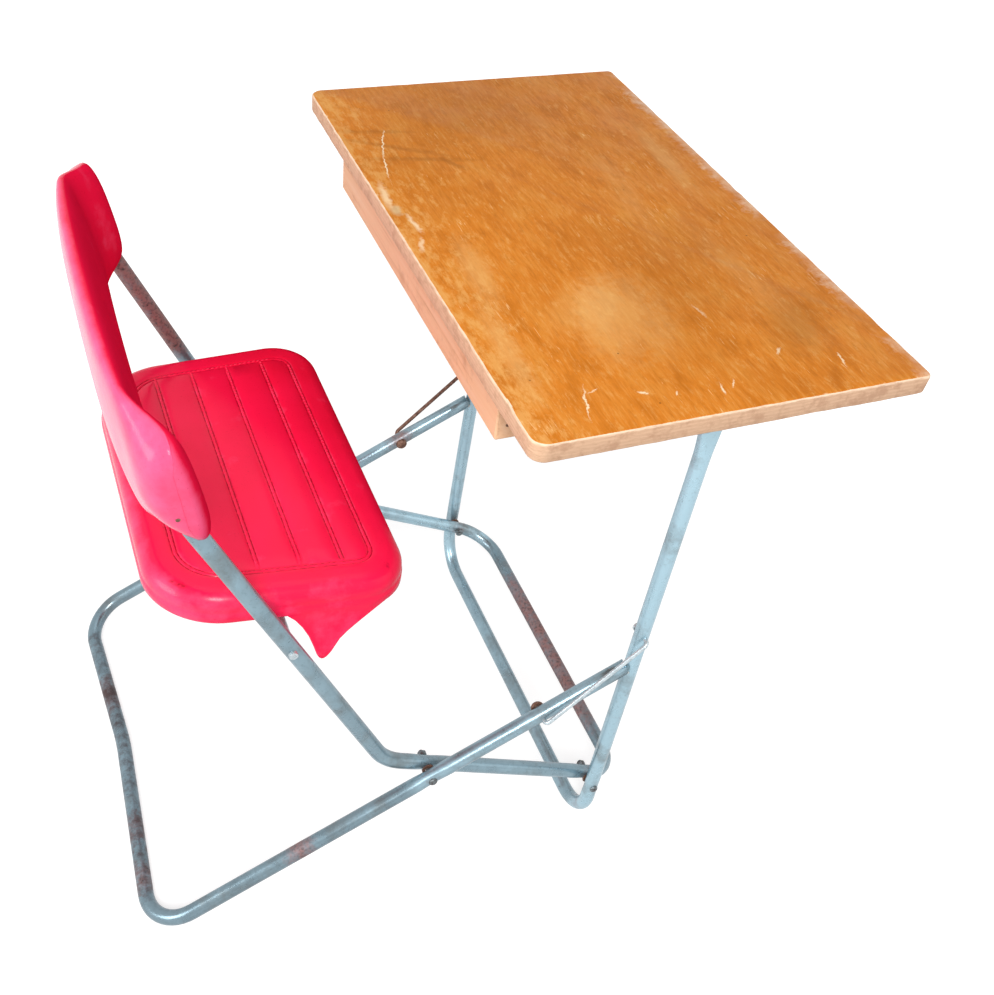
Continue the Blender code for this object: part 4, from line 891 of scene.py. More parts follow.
    def desk_frame(self, sizes, radius):
        foot = FRONT_PIVOT - LEG_ALONG * ((FRONT_PIVOT.z - radius) / LEG_ALONG.z)
        top = DESK_PIVOT + LEG_ALONG * ((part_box("desk_frame_tube")[1].z - DESK_PIVOT.z) / LEG_ALONG.z)
        near, far = -self.outer, self.outer
        corners = [at_side(top, near), at_side(foot, near), at_side(foot, far), at_side(top, far)]
        bm = bent_tube(corners, (sizes.foot_bend, sizes.foot_bend), radius, sizes.ring_spacing, self.sides)
        self.flatten_tops(bm, sizes, radius, top)
        self.press_pivot(bm, FRONT_PIVOT, far, LEG_ALONG, sizes)
        paint(bm, "rust", [
            (at_side(FRONT_PIVOT, near), 0.018, 0.36),
            (at_side(FRONT_PIVOT, far), 0.022, 0.45),
            (at_side(foot, near) + Vector((0.0, 0.01, 0.02)), 0.026, 0.42),
            (at_side(foot, far), 0.040, 0.36),
            (at_side(LEG_PIN, near), 0.012, 0.45),
            (at_side(LEG_PIN, far), 0.018, 0.50),
        ])
        paint(bm, "scuff", [(at_side(foot, near * 0.9), 0.012, 0.45)])
        for y in (near, far):
            self.keep_bright(bm, top, foot, y, 1.0)
        paint_run(bm, "bright", at_side(foot, near), at_side(foot, far), self.bright_reach, 0.35)
        self.finish_tube("desk_frame", bm, sizes)

    def flatten_tops(self, bm, sizes, radius, top):
        """Press the leg tops flat, to a wide section with square-cornered faces."""
        for vert in bm.verts:
            side = math.copysign(self.outer, vert.co.y)
            offset = vert.co - at_side(top, side)
            below = -offset.dot(LEG_ALONG)
            share = ease((sizes.flat_length + sizes.flat_blend - below) / sizes.flat_blend)
            if share == 0.0:
                continue
            across = offset.dot(ACROSS_LEG) / radius
            out = offset.y / radius
            flat_across = math.copysign(abs(across) ** self.square_across, across) * sizes.flat_width / 2
            flat_out = math.copysign(abs(out) ** self.square_out, out) * sizes.flat_thickness / 2
            new_across = between(across * radius, flat_across, share)
            new_out = between(out * radius, flat_out, share)
            vert.co = at_side(top - LEG_ALONG * below + ACROSS_LEG * new_across, side + new_out)


class DESK_OT_links(bpy.types.Operator):
    """Bend the two link wires and dress the caps and studs at their ends"""
    bl_idname = "desk.links"
    bl_label = "Links"

    wire_inset = 0.0025
    ring_spacing = 0.005
    sides = 16

    def execute(self, context):
        sizes = context.scene.desk_tubes
        bright = finish_of(context, bright_steel_turned)
        rusted = finish_of(context, rusted_steel)
        for name, side in SIDES:
            steel, slot = (bright, "bright_steel") if side < 0 else (rusted, "rusty_steel")
            low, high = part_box(f"link_wire_{name}")
            out = (high.y if side > 0 else -low.y) - self.wire_inset
            inner = min(abs(low.y), abs(high.y))
            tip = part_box(f"link_stud_{name}")
            seat = tip[0].y if side < 0 else tip[1].y
            corners = [
                at_side(ARM_PIN, side * inner), at_side(ARM_PIN, side * out),
                at_side(LEG_PIN, side * out), at_side(LEG_PIN, seat),
            ]
            bends = (sizes.wire_bend, sizes.wire_bend)
            bm = bent_tube(corners, bends, sizes.wire_diameter / 2, self.ring_spacing, self.sides)
            bmesh.ops.holes_fill(bm, edges=[edge for edge in bm.edges if edge.is_boundary])
            piece(f"link_{name}_wire", bm, f"link_{name}", [steel], [f"link_wire_{name}"])
            dress(f"link_cap_{name}", rusted)
            dress(f"link_stud_{name}", steel)
        return {"FINISHED"}


class DESK_OT_fasteners(bpy.types.Operator):
    """Make the pivots' bolts and nuts and the rod's caps, and dress the washers, pegs, plugs and the rod"""
    bl_idname = "desk.fasteners"
    bl_label = "Fasteners"

    turn_steps = 24
    cap_profile = (
        (0.0, 0.0020), (0.0014, 0.0019), (0.0026, 0.0015), (0.0034, 0.0008), (0.0036, 0.0), (0.0, 0.0),
    )
    bolt_profile = (
        (0.0, 0.0), (0.0020, 0.0), (0.0026, 0.0006), (0.0026, 0.0388), (0.0046, 0.0388), (0.0047, 0.0396),
        (0.0042, 0.0408), (0.0030, 0.0418), (0.0014, 0.0423), (0.0, 0.0424),
    )
    nut_radius = 0.0050
    nut_depth = 0.0055
    nut_arris = 0.0005
    nut_out = 0.0050

    def execute(self, context):
        steel = finish_of(context, bright_steel_turned)
        dulled = finish_of(context, plain_steel_dulled)
        rusted = finish_of(context, rusted_steel)
        plug = finish_of(context, pale_polyethylene_moulded)
        for name, side in SIDES:
            for node in ("desk_pivot_bolt", "desk_pivot_nut"):
                dress(f"{node}_{name}", dulled)
            self.rod_cap(name, side, dulled)
            for joint, pivot in (("rear_pivot", REAR_PIVOT), ("front_pivot", FRONT_PIVOT)):
                self.pivot(joint, pivot, name, side, dulled)
            for node in ("rear_pivot_washer", "front_pivot_washer", "desk_stop_peg"):
                dress(f"{node}_{name}", rusted)
            dress(f"arm_end_plug_{name}", plug)
        dress("seat_rod", steel)
        return {"FINISHED"}

    def rod_cap(self, name, side, steel):
        """The low dome of a push-on cap on the seat rod's end."""
        low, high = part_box(f"seat_rod_cap_{name}")
        inner = high.y if side < 0 else low.y
        bm = turned(self.cap_profile, at_side(SEAT_ROD, inner), side, self.turn_steps)
        piece(f"rod_cap_{name}", bm, "seat_frame", [steel], [f"seat_rod_cap_{name}"])

    def pivot(self, joint, place, name, side, steel):
        """A round-headed bolt through two tubes, and its nut."""
        low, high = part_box(f"{joint}_bolt_{name}")
        inner = high.y if side < 0 else low.y
        bolt = turned(self.bolt_profile, at_side(place, inner), side, self.turn_steps)
        piece(f"{joint}_{name}_bolt", bolt, "seat_frame", [steel], [f"{joint}_bolt_{name}"])
        nut = bmesh.new()
        bmesh.ops.create_cone(
            nut, cap_ends=True, segments=6, radius1=self.nut_radius, radius2=self.nut_radius,
            depth=self.nut_depth,
        )
        rounded(nut, nut.edges[:], self.nut_arris, 2)
        middle = at_side(place, inner + side * self.nut_out)
        turn = Matrix.Translation(middle) @ Matrix.Rotation(math.radians(90.0), 4, "X")
        bmesh.ops.transform(nut, matrix=turn, verts=nut.verts)
        piece(f"{joint}_{name}_nut", nut, "seat_frame", [steel], [f"{joint}_nut_{name}"])


class DESK_OT_seat(bpy.types.Operator):
    """Mould the seat: plan, rounded edge, stitched border and channels, rim, ears and ribs"""
    bl_idname = "desk.seat"
    bl_label = "Seat"

    corner_steps = 18
    edge_steps = 8
    outline_spacing = 0.0055
    border_start = 1.45
    channel_count = 4
    # A double line: half widths from its middle, and depths.
    groove = (
        (-2.0, 0.0), (-1.4, -0.3), (-1.0, -1.0), (-0.6, -0.3), (0.0, 0.1),
        (0.6, -0.3), (1.0, -1.0), (1.4, -0.3), (2.0, 0.0),
    )
    panel_cuts = (0.25, 0.4, 0.6, 0.75)
    panel_power = 0.8
    cross_cuts = [-0.15 + 0.02 * step for step in range(16)]
    soil_strength = 0.9
    ear_steps = 9
    ear_side = 0.10
    ear_rear, ear_front, ear_tip = 0.002, 0.024, 0.024
    ear_lean, ear_flare = 0.62, 0.016
    ear_merge = 0.00004
    lip_steps = 3
    stitch_shape = (0.40, 0.55, 0.00045)
    stitch_turn = 14.0
    rib_length, rib_width, rib_at = 0.070, 0.006, 0.120
    rib_below, rib_gap, rib_taper, rib_arris = 0.010, 0.0025, 0.4, 0.0012

    def execute(self, context):
        sizes = context.scene.desk_seat
        low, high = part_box("seat_shell")
        self.front, self.rear, self.top = high.x, low.x, high.z
        self.slope = (sizes.front_half - sizes.rear_half) / (self.front - self.rear)
        self.red = finish_of(context, red_polyethylene_moulded)
        bm = self.plan(sizes)
        inner = self.crown(bm, sizes)
        self.channels(bm, sizes, inner)
        self.parting_step(bm, sizes)
        self.ears(bm, sizes)
        self.lip(bm, sizes)
        bmesh.ops.recalc_face_normals(bm, faces=bm.faces)
        # Painted sheen: paler pink on the faces turned rearwards and a little to the right.
        sun_bleach(bm, Vector((-0.9, -0.4, 0.2)), 0.2, 0.85, 0.20)
        # Painted shadow: the seat is a deeper red towards its front and left, where the desk top shades it.
        paint_by(bm, "deep", lambda vert: 0.75 * ease((vert.co.x + 0.45 * vert.co.y + 0.20) / 0.20))
        # Darker red in the deepest parts of the moulded lines.
        paint_by(bm, "soil", lambda vert: self.soil(vert.co, sizes))
        shell = piece("seat_moulding", bm, "seat_frame", [self.red], ["seat_shell"], 60.0)
        wall(shell, sizes.wall)
        self.stitches(sizes)
        self.ribs()
        return {"FINISHED"}

    def half_at(self, x, sizes):
        """Half the seat's width at a distance along X."""
        return sizes.rear_half + self.slope * (x - self.rear)

    def plan(self, sizes):
        """The rim's wall, open below and closed above by the plan's face."""
        bm = bmesh.new()
        outline = ((self.front, -sizes.front_half), (self.front, sizes.front_half),
                   (self.rear, sizes.rear_half), (self.rear, -sizes.rear_half))
        base = bm.faces.new([bm.verts.new((x, y, self.top - sizes.rim)) for x, y in outline])
        made = bmesh.ops.extrude_face_region(bm, geom=[base])["geom"]
        bmesh.ops.translate(bm, vec=(0.0, 0.0, sizes.rim - sizes.edge), verts=verts_of(made))
        round_corners(bm, self.front, sizes.front_corner, self.corner_steps)
        round_corners(bm, self.rear, sizes.rear_corner, self.corner_steps)
        low = [face for face in bm.faces if face.normal.z < -0.9 or
               (abs(face.normal.z) > 0.9 and face.calc_center_median().z < self.top - sizes.rim * 0.9)]
        bmesh.ops.delete(bm, geom=low, context="FACES_ONLY")
        cut_evenly(bm, self.outline_spacing)
        return bm

    def crown(self, bm, sizes):
        """Inset the plan's face into the rounded edge and the border's double line; gives the inner face."""
        face = max(bm.faces, key=lambda item: item.calc_center_median().z)
        loops = []
        for step in range(1, self.edge_steps + 1):
            turn = math.radians(90.0 * step / self.edge_steps)
            loops.append((sizes.edge * (1 - math.cos(turn)), sizes.edge * math.sin(turn) - sizes.edge))
        loops.append((sizes.edge * self.border_start, 0.0))
        for offset, drop in self.groove:
            loops.append((sizes.border + offset * sizes.groove_half, drop * sizes.groove_depth))
        at = 0.0
        for distance, drop in loops:
            bmesh.ops.inset_region(
                bm, faces=[face], thickness=distance - at, depth=0.0, use_boundary=True, use_even_offset=True
            )
            at = distance
            for vert in face.verts:
                vert.co.z = self.top + drop
        return face

    def groove_lines(self, sizes):
        """Where the channels run across the seat."""
        first = self.rear + sizes.border + sizes.end_gap
        last = self.front - sizes.border - sizes.end_gap
        return [first + (last - first) * at / (self.channel_count - 1) for at in range(self.channel_count)]

    def channels(self, bm, sizes, inner):
        """Cut the inner face across and shape the channels' double lines and the panels between them."""
        inner.material_index = 1
        lines = self.groove_lines(sizes)
        bounds = [self.rear + sizes.border, *lines, self.front - sizes.border]
        cuts = [(line + offset * sizes.groove_half, 0) for line in lines for offset, _ in self.groove]
        cuts += [(between(a, b, share), 0) for a, b in zip(bounds, bounds[1:]) for share in self.panel_cuts]
        cuts += [(y, 1) for y in self.cross_cuts]
        for where, axis in cuts:
            faces = [face for face in bm.faces if face.material_index == 1]
            geom = list({*faces, *(e for f in faces for e in f.edges), *(v for f in faces for v in f.verts)})
            normal = AXES[axis]
            bmesh.ops.bisect_plane(bm, geom=geom, dist=CUT_DISTANCE, plane_co=normal * where, plane_no=normal)
        for vert in {v for f in bm.faces if f.material_index == 1 for v in f.verts}:
            if all(face.material_index == 1 for face in vert.link_faces):
                vert.co.z += self.lift(vert.co.x, lines, bounds, sizes)
        for face in bm.faces:
            face.material_index = 0

    def lift(self, x, lines, bounds, sizes):
        """How far a panel rises, or a channel's line sinks, at a distance along X."""
        lift = 0.0
        for a, b in zip(bounds, bounds[1:]):
            if a <= x <= b:
                lift = sizes.pillow * math.sin(math.pi * (x - a) / (b - a)) ** self.panel_power
        for line in lines:
            away = (x - line) / sizes.groove_half
            if abs(away) <= self.groove[-1][0] + 0.001:
                lift = 0.0
                for (a, drop_a), (b, drop_b) in zip(self.groove, self.groove[1:]):
                    if a <= away <= b:
                        lift = sizes.groove_depth * between(drop_a, drop_b, (away - a) / (b - a))
        return lift

    def soil(self, point, sizes):
        """How much darker a point is painted: some where the moulded lines are deepest."""
        sunk = (self.top - point.z) / sizes.groove_depth
        half = self.half_at(point.x, sizes)
        to_edge = min(half - abs(point.y), self.front - point.x, point.x - self.rear)
        return self.soil_strength * ease(sunk) if 0.2 < sunk < 1.1 and to_edge > sizes.edge * 1.3 else 0.0

    def outward(self, x, y, sizes):
        """The outline's outward direction next to a point of the rim."""
        point = Vector((x, abs(y), 0.0))
        for end, half, corner, ahead in (
            (self.front, sizes.front_half, sizes.front_corner, 1.0),
            (self.rear, sizes.rear_half, sizes.rear_corner, -1.0),
        ):
            offset = point - Vector((end - ahead * corner, half - corner, 0.0))
            if offset.x * ahead > 0.0:
                if offset.y <= 0.0:
                    return Vector((ahead, 0.0, 0.0))
                return Vector((offset.x, math.copysign(offset.y, y), 0.0)).normalized()
        return Vector((-self.slope, math.copysign(1.0, y), 0.0)).normalized()

    def parting_step(self, bm, sizes):
        """Cut the rim and set its lower band out a little, where the mould's halves met."""
        base = self.top - sizes.rim
        for height in (sizes.seam_height, sizes.seam_height + sizes.seam_step * 1.2, sizes.rim * 0.42):
            cut_through(bm, base + height, 2, CUT_DISTANCE)
        for vert in bm.verts:
            if vert.co.z < base + sizes.seam_height + TINY:
                vert.co += self.outward(vert.co.x, vert.co.y, sizes) * sizes.seam_step

    def ear_shape(self, share):
        """The ear's lower edge, from the rear end of its root (0) round the tip to the front end (1)."""
        rear, front, blunt = 0.27, 0.60, 0.14
        if share < rear:
            return (1.0 - blunt) * (share / rear) ** 1.25
        if share > front:
            return (1.0 - blunt) * (1.0 - ((share - front) / (1.0 - front)) ** 0.66)
        middle = (rear + front) / 2
        return 1.0 - blunt * abs((share - middle) / (front - middle)) ** 2.4

    def ears(self, bm, sizes):
        """Draw the rim down at each side into a pointed ear that leans on the upright."""
        root_rear = SEAT_ROD.x + self.ear_rear
        root_front = self.front - self.ear_front
        tip_x = SEAT_ROD.x + self.ear_tip
        for _, side in SIDES:
            root = {
                vert for vert in bm.verts
                if vert.co.y * side > self.ear_side and root_rear < vert.co.x < root_front
            }
            ring = [edge for edge in bm.edges if edge.is_boundary and root.issuperset(edge.verts)]
            starts = {vert: vert.co.copy() for edge in ring for vert in edge.verts}
            first = min(point.x for point in starts.values())
            last = max(point.x for point in starts.values())
            for step in range(1, self.ear_steps + 1):
                made = bmesh.ops.extrude_edge_only(bm, edges=ring)["geom"]
                ring = edges_of(made)
                old = {tuple(round(c, 6) for c in vert.co): point for vert, point in starts.items()}
                starts = {vert: old[tuple(round(c, 6) for c in vert.co)] for vert in verts_of(made)}
                part = step / self.ear_steps
                for vert, point in starts.items():
                    drop = self.ear_shape((point.x - first) / (last - first))
                    lean = (tip_x - point.x) * self.ear_lean * drop * part ** 1.3
                    flare = self.ear_flare * drop ** 1.2 * part ** 1.6
                    vert.co = point + Vector((lean, side * flare, (sizes.rim - sizes.ear_drop) * drop * part))
            bmesh.ops.remove_doubles(bm, verts=bm.verts, dist=self.ear_merge)

    def lip(self, bm, sizes):
        """Roll the lower edge inwards a little."""
        bm.normal_update()
        ring = [edge for edge in bm.edges if edge.is_boundary]
        for step in range(1, self.lip_steps + 1):
            before = math.radians(90.0 * (step - 1) / self.lip_steps)
            after = math.radians(90.0 * step / self.lip_steps)
            made = bmesh.ops.extrude_edge_only(bm, edges=ring)["geom"]
            ring = edges_of(made)
            inward = sizes.lip * (math.cos(before) - math.cos(after))
            down = sizes.lip * (math.sin(after) - math.sin(before))
            for vert in verts_of(made):
                out = self.outward(vert.co.x, vert.co.y, sizes)
                vert.co += out * -inward + Vector((0.0, 0.0, -down * 0.6))

    def stitches(self, sizes):
        """Small moulded stitches along the border and the channels."""
        def spaced(first, last):
            count = int((last - first) / sizes.stitch)
            return [first + (last - first) * at / count for at in range(count + 1)]

        places = []
        for line in self.groove_lines(sizes):
            half = self.half_at(line, sizes) - sizes.border * 1.05 - 0.002
            places += [(line, y, 90.0) for y in spaced(-half, half)]
        for _, side in SIDES:
            for x in spaced(self.rear + sizes.rear_corner, self.front - sizes.front_corner):
                y = side * (self.half_at(x, sizes) - sizes.border * 1.004)
                places.append((x, y, math.degrees(math.atan(self.slope * side))))
        for x, half in (
            (self.rear + sizes.border, sizes.rear_half - sizes.rear_corner),
            (self.front - sizes.border, sizes.front_half - sizes.front_corner),
        ):
            places += [(x, y, 90.0) for y in spaced(-half, half)]
        bm = bmesh.new()
        long, wide, high = self.stitch_shape
        shape = Matrix.Diagonal((sizes.stitch * long, sizes.groove_half * wide, high, 1.0))
        for x, y, turn in places:
            place = Matrix.Translation((x, y, self.top - TINY))
            place @= Matrix.Rotation(math.radians(turn + self.stitch_turn), 4, "Z")
            bmesh.ops.create_uvsphere(bm, u_segments=8, v_segments=4, radius=1.0, matrix=place @ shape)
        piece("seat_stitches", bm, "seat_frame", [self.red], (), 80.0)

    def ribs(self):
        """Two ribs under the seat that the rod passes through."""
        bm = bmesh.new()
        low = SEAT_ROD.z - self.rib_below
        high = self.top - self.rib_gap
        for _, side in SIDES:
            made = bmesh.ops.create_cube(bm, size=1.0)["verts"]
            bmesh.ops.scale(bm, vec=(self.rib_length, self.rib_width, high - low), verts=made)
            bmesh.ops.translate(bm, vec=(SEAT_ROD.x, side * self.rib_at, (high + low) / 2), verts=made)
            foot = [vert for vert in made if vert.co.z < SEAT_ROD.z]
            about = Matrix.Translation((-SEAT_ROD.x, 0.0, 0.0))
            bmesh.ops.scale(bm, vec=(self.rib_taper, 1.0, 1.0), verts=foot, space=about)
        edges = [edge for edge in bm.edges if max(vert.co.z for vert in edge.verts) < self.top - 0.004]
        rounded(bm, edges, self.rib_arris, 2)
        bmesh.ops.recalc_face_normals(bm, faces=bm.faces)
        piece("seat_ribs", bm, "seat_frame", [self.red])


class DESK_OT_backrest(bpy.types.Operator):
    """Mould the backrest, a fat band with wings that turn forward and a parting bead, and turn its screws"""
    bl_idname = "desk.backrest"
    bl_label = "Backrest"

    roundness = 2.9
    seam_at = -0.40
    seam_half = 0.035
    end_share, end_limit = 0.8, 0.42
    cells = (
        (-0.9, -0.75, -0.5, -0.25, 0.0, 0.2, 0.32, 0.365, 0.4, 0.435, 0.48, 0.65, 0.8, 0.92),
        [step / 30 for step in range(-29, 30)],
        [math.sin(math.pi * step / 26) for step in range(-12, 13)],
    )
    screw_profile = (
        (0.0, 0.0008), (0.0010, 0.0007), (0.0017, 0.0003), (0.0019, -0.0004), (0.0012, -0.004),
        (0.0, -0.0045),
    )
    screw_steps = 16

    def execute(self, context):
        sizes = context.scene.desk_backrest
        low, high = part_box("backrest_shell")
        self.bottom, self.top, self.half = low.z, high.z, high.y
        self.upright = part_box("seat_frame_tube")[1].y - context.scene.desk_tubes.diameter / 2
        red = finish_of(context, red_polyethylene_moulded)
        bm = bmesh.new()
        bmesh.ops.create_cube(bm, size=2.0)
        for axis, cuts in enumerate(self.cells):
            for cut in cuts:
                cut_through(bm, cut, axis, MERGE_DISTANCE)
        for vert in bm.verts:
            vert.co = self.shaped(vert.co, sizes)
        bmesh.ops.recalc_face_normals(bm, faces=bm.faces)
        # Painted sheen: paler pink on the faces turned to the right and rearwards.
        sun_bleach(bm, Vector((-0.62, -0.78, 0.10)), -0.30, 0.60, 0.42)
        # Painted shade: the side that faces forward, turned away from the key and side lamps, is a deeper red.
        paint_by(bm, "deep", lambda vert: 0.30 * ease(vert.normal.x * 2.2))
        surface = bvhtree.BVHTree.FromBMesh(bm)
        piece("backrest_moulding", bm, "seat_frame", [red], ["backrest_shell"], 60.0)
        for name, side in SIDES:
            self.screw(context, surface, name, side)
        return {"FINISHED"}

    def screw(self, context, surface, name, side):
        """A small dark screw sunk in the wing's end."""
        outside = at_side(BACK_SCREW, side * (self.half + 0.02))
        hit = surface.ray_cast(outside, Vector((0.0, -side, 0.0)))[0]
        bm = turned(self.screw_profile, hit, side, self.screw_steps)
        rusted = finish_of(context, rusted_steel)
        piece(f"backrest_{name}_screw", bm, "seat_frame", [rusted], [f"backrest_screw_{name}"])

    def shaped(self, cell, sizes):
        """A point of the backrest: front to rear, across and up, each from -1 to 1 on a cube."""
        back, across, up = -cell.x, cell.y, cell.z
        bead = sizes.seam * max(0.0, 1.0 - abs(back - self.seam_at) / self.seam_half)
        bead_up = math.copysign(bead, up) * ease(abs(across) * 4.0 - 2.6) if abs(up) == 1.0 else 0.0
        bead_out = math.copysign(bead, across) if abs(across) == 1.0 else 0.0
        largest = max(abs(up), abs(back))
        if largest > 0.0:
            power = self.roundness
            round_in = largest / (abs(up) ** power + abs(back) ** power) ** (1.0 / power)
            up, back = up * round_in, back * round_in
        share_up, share_back = (up + 1.0) / 2, (back + 1.0) / 2
        y = self.half * math.sin(across * math.pi / 2)
        out = (y / self.half) ** 2
        wing = ease((abs(y) - self.upright - sizes.turn_past) / sizes.turn + 1.0)
        past = min(1.0, max(0.0, (abs(y) - self.half) / sizes.end_round + 1.0))
        dome = 1.0 - (1.0 - past ** 3) ** (1.0 / 3.0)
        end_round = sizes.end_round * self.end_share
        low = self.bottom + sizes.wing_cut * share_back * wing
        wing_fall = (sizes.wing_drop + sizes.shoulder * share_back) * wing
        high = self.top + sizes.crown - wing_fall - sizes.end_fall * out
        z = between(low + end_round * dome, high - end_round * dome, share_up)
        rise = z - self.bottom
        share = rise / (self.top + sizes.crown - self.bottom)
        axis_x = upright_x(self.bottom)
        band_front = axis_x - sizes.setback - rise * math.tan(sizes.lean) - sizes.bulge * (0.5 - out)
        wing_front = axis_x + sizes.wing_ahead - rise * math.tan(sizes.wing_lean)
        front = between(band_front, wing_front, wing)
        band_thick = between(sizes.low_thick, sizes.high_thick, share)
        wing_thick = between(sizes.wing_low_thick, sizes.wing_high_thick, share)
        thick = between(band_thick, wing_thick, wing) - sizes.wrap * out * out
        inset = min(end_round, thick * self.end_limit) * dome
        return Vector((between(front - inset, front - thick + inset, share_back), y + bead_out, z + bead_up))


class DESK_OT_desk_top(bpy.types.Operator):
    """Shape the worn board, dress the apron and rails under it and turn the apron's nails"""
    bl_idname = "desk.desk_top"
    bl_label = "Desk top"

    corner_steps = 8
    arris_steps = 3
    outline_spacing = 0.005
    nail_profile = ((0.0, 0.0004), (0.0014, 0.0004), (0.0018, 0.0001), (0.0016, -0.002), (0.0, -0.002))
    nail_steps = 16
    nail_below = 0.010

    def execute(self, context):
        sizes = context.scene.desk_board
        half_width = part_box("desk_top")[1].y
        veneer = finish_of(context, birch_veneer_varnished, BOARD_HALF_DEPTH, half_width)
        edge = finish_of(context, birch_plywood_sawn_edge)
        wood = finish_of(context, softwood_planed_bare)
        rusted = finish_of(context, rusted_steel)
        bm = self.board(sizes, half_width)
        piece("desk_board", bm, "desk", [veneer, edge], ["desk_top"], 38.0)
        for node in ("desk_apron", "desk_rail_right", "desk_rail_left"):
            dress(node, wood)
        low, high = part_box("desk_apron")
        middle = (low + high) / 2 - BOARD_UP * self.nail_below
        for name, side in SIDES:
            place = at_side(middle, low.y if side < 0 else high.y)
            bm = turned(self.nail_profile, place, side, self.nail_steps)
            piece(f"apron_nail_{name}", bm, "desk", [rusted])
        return {"FINISHED"}

    def board(self, sizes, half_width):
        bm = bmesh.new()
        made = bmesh.ops.create_cube(bm, size=1.0)["verts"]
        bmesh.ops.scale(bm, vec=(2 * BOARD_HALF_DEPTH, 2 * half_width, BOARD_THICK), verts=made)
        bmesh.ops.translate(bm, vec=(0.0, 0.0, -BOARD_THICK / 2), verts=made)
        round_corners(bm, -BOARD_HALF_DEPTH, sizes.near_corner, self.corner_steps)
        round_corners(bm, BOARD_HALF_DEPTH, sizes.far_corner, self.corner_steps)
        cut_evenly(bm, self.outline_spacing)
        rims = [edge for edge in bm.edges if edge.calc_face_angle(0.0) > math.radians(60)]
        rounded(bm, rims, sizes.arris, self.arris_steps)
        for vert in bm.verts:
            if -BOARD_THICK + TINY < vert.co.z < -TINY:
                vert.co -= self.chipped(vert.co, half_width) * sizes.chips
        bmesh.ops.recalc_face_normals(bm, faces=bm.faces)
        for face in bm.faces:
            face.material_index = 0 if abs(face.normal.z) > 0.80 else 1
        turn = Matrix((BOARD_ALONG, AXES[1], BOARD_UP)).transposed().to_4x4()
        bmesh.ops.transform(bm, matrix=Matrix.Translation(BOARD_TOP) @ turn, verts=bm.verts)
        return bm

    def chipped(self, point, half_width):
        """How far wear and chips have eaten into the edge at a point, in depths of a chip."""
        rough = noise.fractal(point * 90.0, 1.0, 2.0, 4)
        bite = max(0.0, noise.noise(point * 37.0) - 0.25) * 2.2
        along, across = point.x / BOARD_HALF_DEPTH, point.y / half_width
        lean = Vector((along if abs(along) > 0.95 else 0.0, across if abs(across) > 0.97 else 0.0, 0.0))
        return lean * (0.35 * rough + bite)


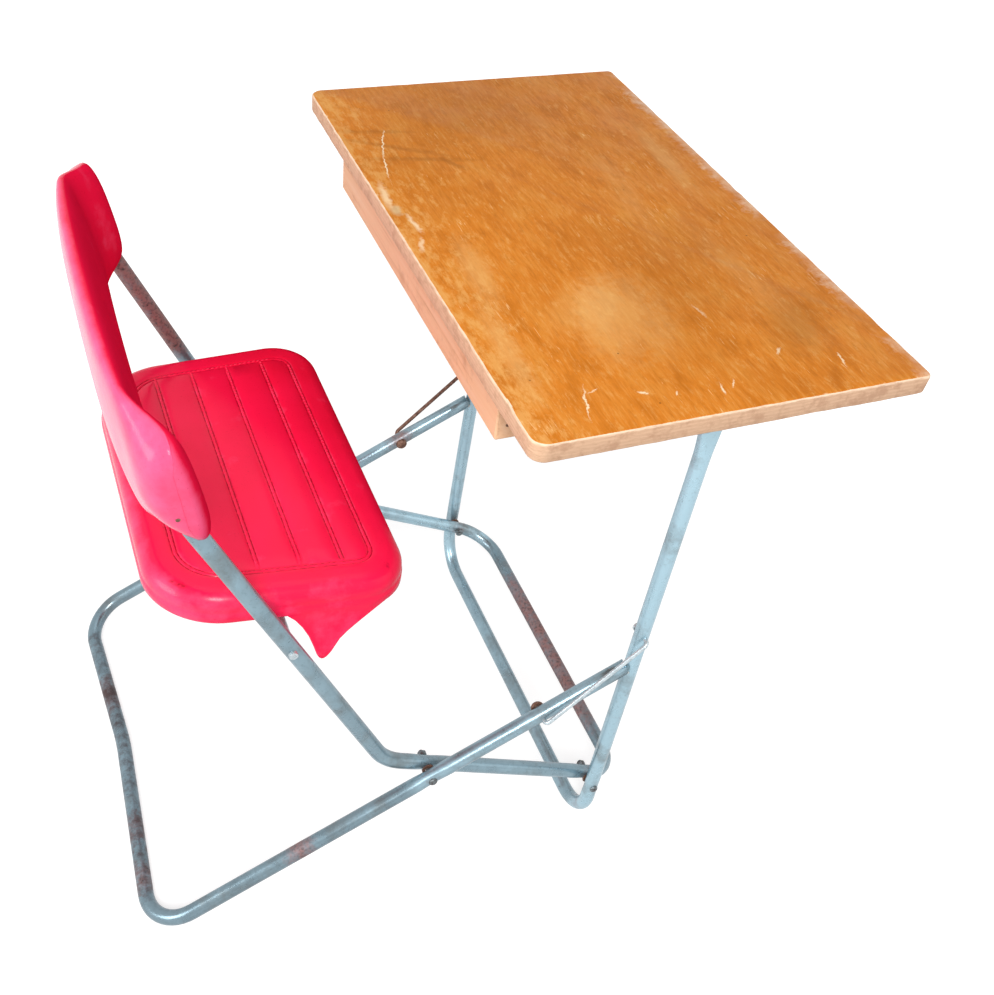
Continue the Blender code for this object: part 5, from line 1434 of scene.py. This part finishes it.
class DESK_OT_stage(bpy.types.Operator):
    """Set the floor, the soft studio light and the camera"""
    bl_idname = "desk.stage"
    bl_label = "Stage"

    eye = Vector((-0.374776, -0.87743, 1.17609))
    right = Vector((0.92019, -0.36690, 0.13649))
    down = Vector((-0.14780, -0.64848, -0.74675))
    lens = 43.436
    shift = (0.00738, 0.00196)
    # Each lamp's place, diameter and power.
    lamps = {
        "key_light": ((-0.9, -2.0, 2.4), 0.9, 64.0),
        "side_light": ((-2.4, -0.3, 1.0), 1.2, 30.0),
        "fill_light": ((1.8, -1.4, 1.6), 2.0, 8.0),
        "top_light": ((0.1, 0.6, 3.0), 2.0, 8.0),
    }
    lamp_aim = Vector((0.0, 0.0, 0.35))
    sky_light = 0.36
    floor_half = 6.0
    floor_below = 0.0003
    floor_tone = (0.42, 0.42, 0.42, 1.0)
    # The floor is seen a little less white up to the near distance, and quite white from the far one.
    floor_near, floor_far, floor_white = 0.45, 1.3, 0.72

    def execute(self, context):
        scene = context.scene
        scene.view_settings.view_transform = "Standard"
        self.camera(scene)
        self.floor(scene)
        self.world(scene)
        for name, (place, size, power) in self.lamps.items():
            self.lamp(scene, name, Vector(place), size, power)
        return {"FINISHED"}

    def camera(self, scene):
        data = bpy.data.cameras.new("camera")
        data.sensor_fit = "HORIZONTAL"
        data.sensor_width = 36.0
        data.lens = self.lens
        data.shift_x, data.shift_y = self.shift
        data.clip_start = 0.05
        camera = bpy.data.objects.new("camera", data)
        right = self.right.normalized()
        up = (-self.down - right * right.dot(-self.down)).normalized()
        turn = Matrix((right, up, right.cross(up))).transposed().to_4x4()
        camera.matrix_world = Matrix.Translation(self.eye) @ turn
        scene.collection.objects.link(camera)
        scene.camera = camera

    def floor(self, scene):
        material, tree = new_material("pale_studio_floor")
        place = add(tree, "TexCoord").outputs["Object"]
        away = add(tree, "VectorMath", {0: place}, operation="LENGTH")
        white = add(tree, "MapRange", {0: away, 1: self.floor_near, 2: self.floor_far, 3: self.floor_white})
        glow = add(tree, "Math", {0: seen_straight(tree), 1: white}, operation="MULTIPLY")
        shine = add(tree, "Emission", {"Strength": glow})
        matt = add(tree, "BsdfDiffuse", {"Color": self.floor_tone})
        both = add(tree, "AddShader", {0: shine, 1: matt})
        add(tree, "OutputMaterial", {0: both})
        bm = bmesh.new()
        below = Matrix.Translation((0, 0, -self.floor_below))
        bmesh.ops.create_grid(bm, x_segments=1, y_segments=1, size=self.floor_half, matrix=below)
        mesh = bpy.data.meshes.new("floor")
        bm.to_mesh(mesh)
        bm.free()
        mesh.materials.append(material)
        floor = bpy.data.objects.new("floor", mesh)
        scene.collection.objects.link(floor)

    def world(self, scene):
        world = bpy.data.worlds.new("studio")
        world.use_nodes = True
        tree = world.node_tree
        tree.nodes.clear()
        strength = add(tree, "MapRange", {0: seen_straight(tree), 3: self.sky_light})
        sky = add(tree, "Background", {"Color": WHITE, "Strength": strength})
        add(tree, "OutputWorld", {0: sky})
        scene.world = world

    def lamp(self, scene, name, place, size, power):
        data = bpy.data.lights.new(name, "AREA")
        data.shape = "DISK"
        data.size = size
        data.energy = power
        lamp = bpy.data.objects.new(name, data)
        aim = (self.lamp_aim - place).to_track_quat("-Z", "Y").to_matrix().to_4x4()
        lamp.matrix_world = Matrix.Translation(place) @ aim
        scene.collection.objects.link(lamp)


class DESK_PT_pieces(bpy.types.Panel):
    """The pieces of the desk and their sizes"""
    bl_idname = "DESK_PT_pieces"
    bl_label = "Folding desk"
    bl_space_type = "VIEW_3D"
    bl_region_type = "UI"
    bl_category = "Desk"

    def draw(self, context):
        layout = self.layout
        for operator in OPERATORS:
            layout.operator(operator.bl_idname)
        for group_name in GROUPS:
            group = getattr(context.scene, group_name)
            for key in group.__annotations__:
                layout.prop(group, key)


OPERATORS = (
    DESK_OT_frame_tubes, DESK_OT_links, DESK_OT_fasteners, DESK_OT_seat, DESK_OT_backrest, DESK_OT_desk_top,
    DESK_OT_stage,
)
GROUPS = {
    "desk_tubes": TubeSizes,
    "desk_seat": SeatSizes,
    "desk_backrest": BackrestSizes,
    "desk_board": BoardSizes,
    "desk_finishes": Finishes,
}


def register():
    for group in GROUPS.values():
        bpy.utils.register_class(group)
    for name, group in GROUPS.items():
        setattr(bpy.types.Scene, name, PointerProperty(type=group))
    for operator in OPERATORS:
        bpy.utils.register_class(operator)
    bpy.utils.register_class(DESK_PT_pieces)


def unregister():
    bpy.utils.unregister_class(DESK_PT_pieces)
    for operator in reversed(OPERATORS):
        bpy.utils.unregister_class(operator)
    for name in GROUPS:
        delattr(bpy.types.Scene, name)
    for group in reversed(GROUPS.values()):
        bpy.utils.unregister_class(group)


def main():
    register()
    bpy.ops.desk.frame_tubes()
    bpy.ops.desk.links()
    bpy.ops.desk.fasteners()
    bpy.ops.desk.seat()
    bpy.ops.desk.backrest()
    bpy.ops.desk.desk_top()
    bpy.ops.desk.stage()


if __name__ == "__main__":
    main()
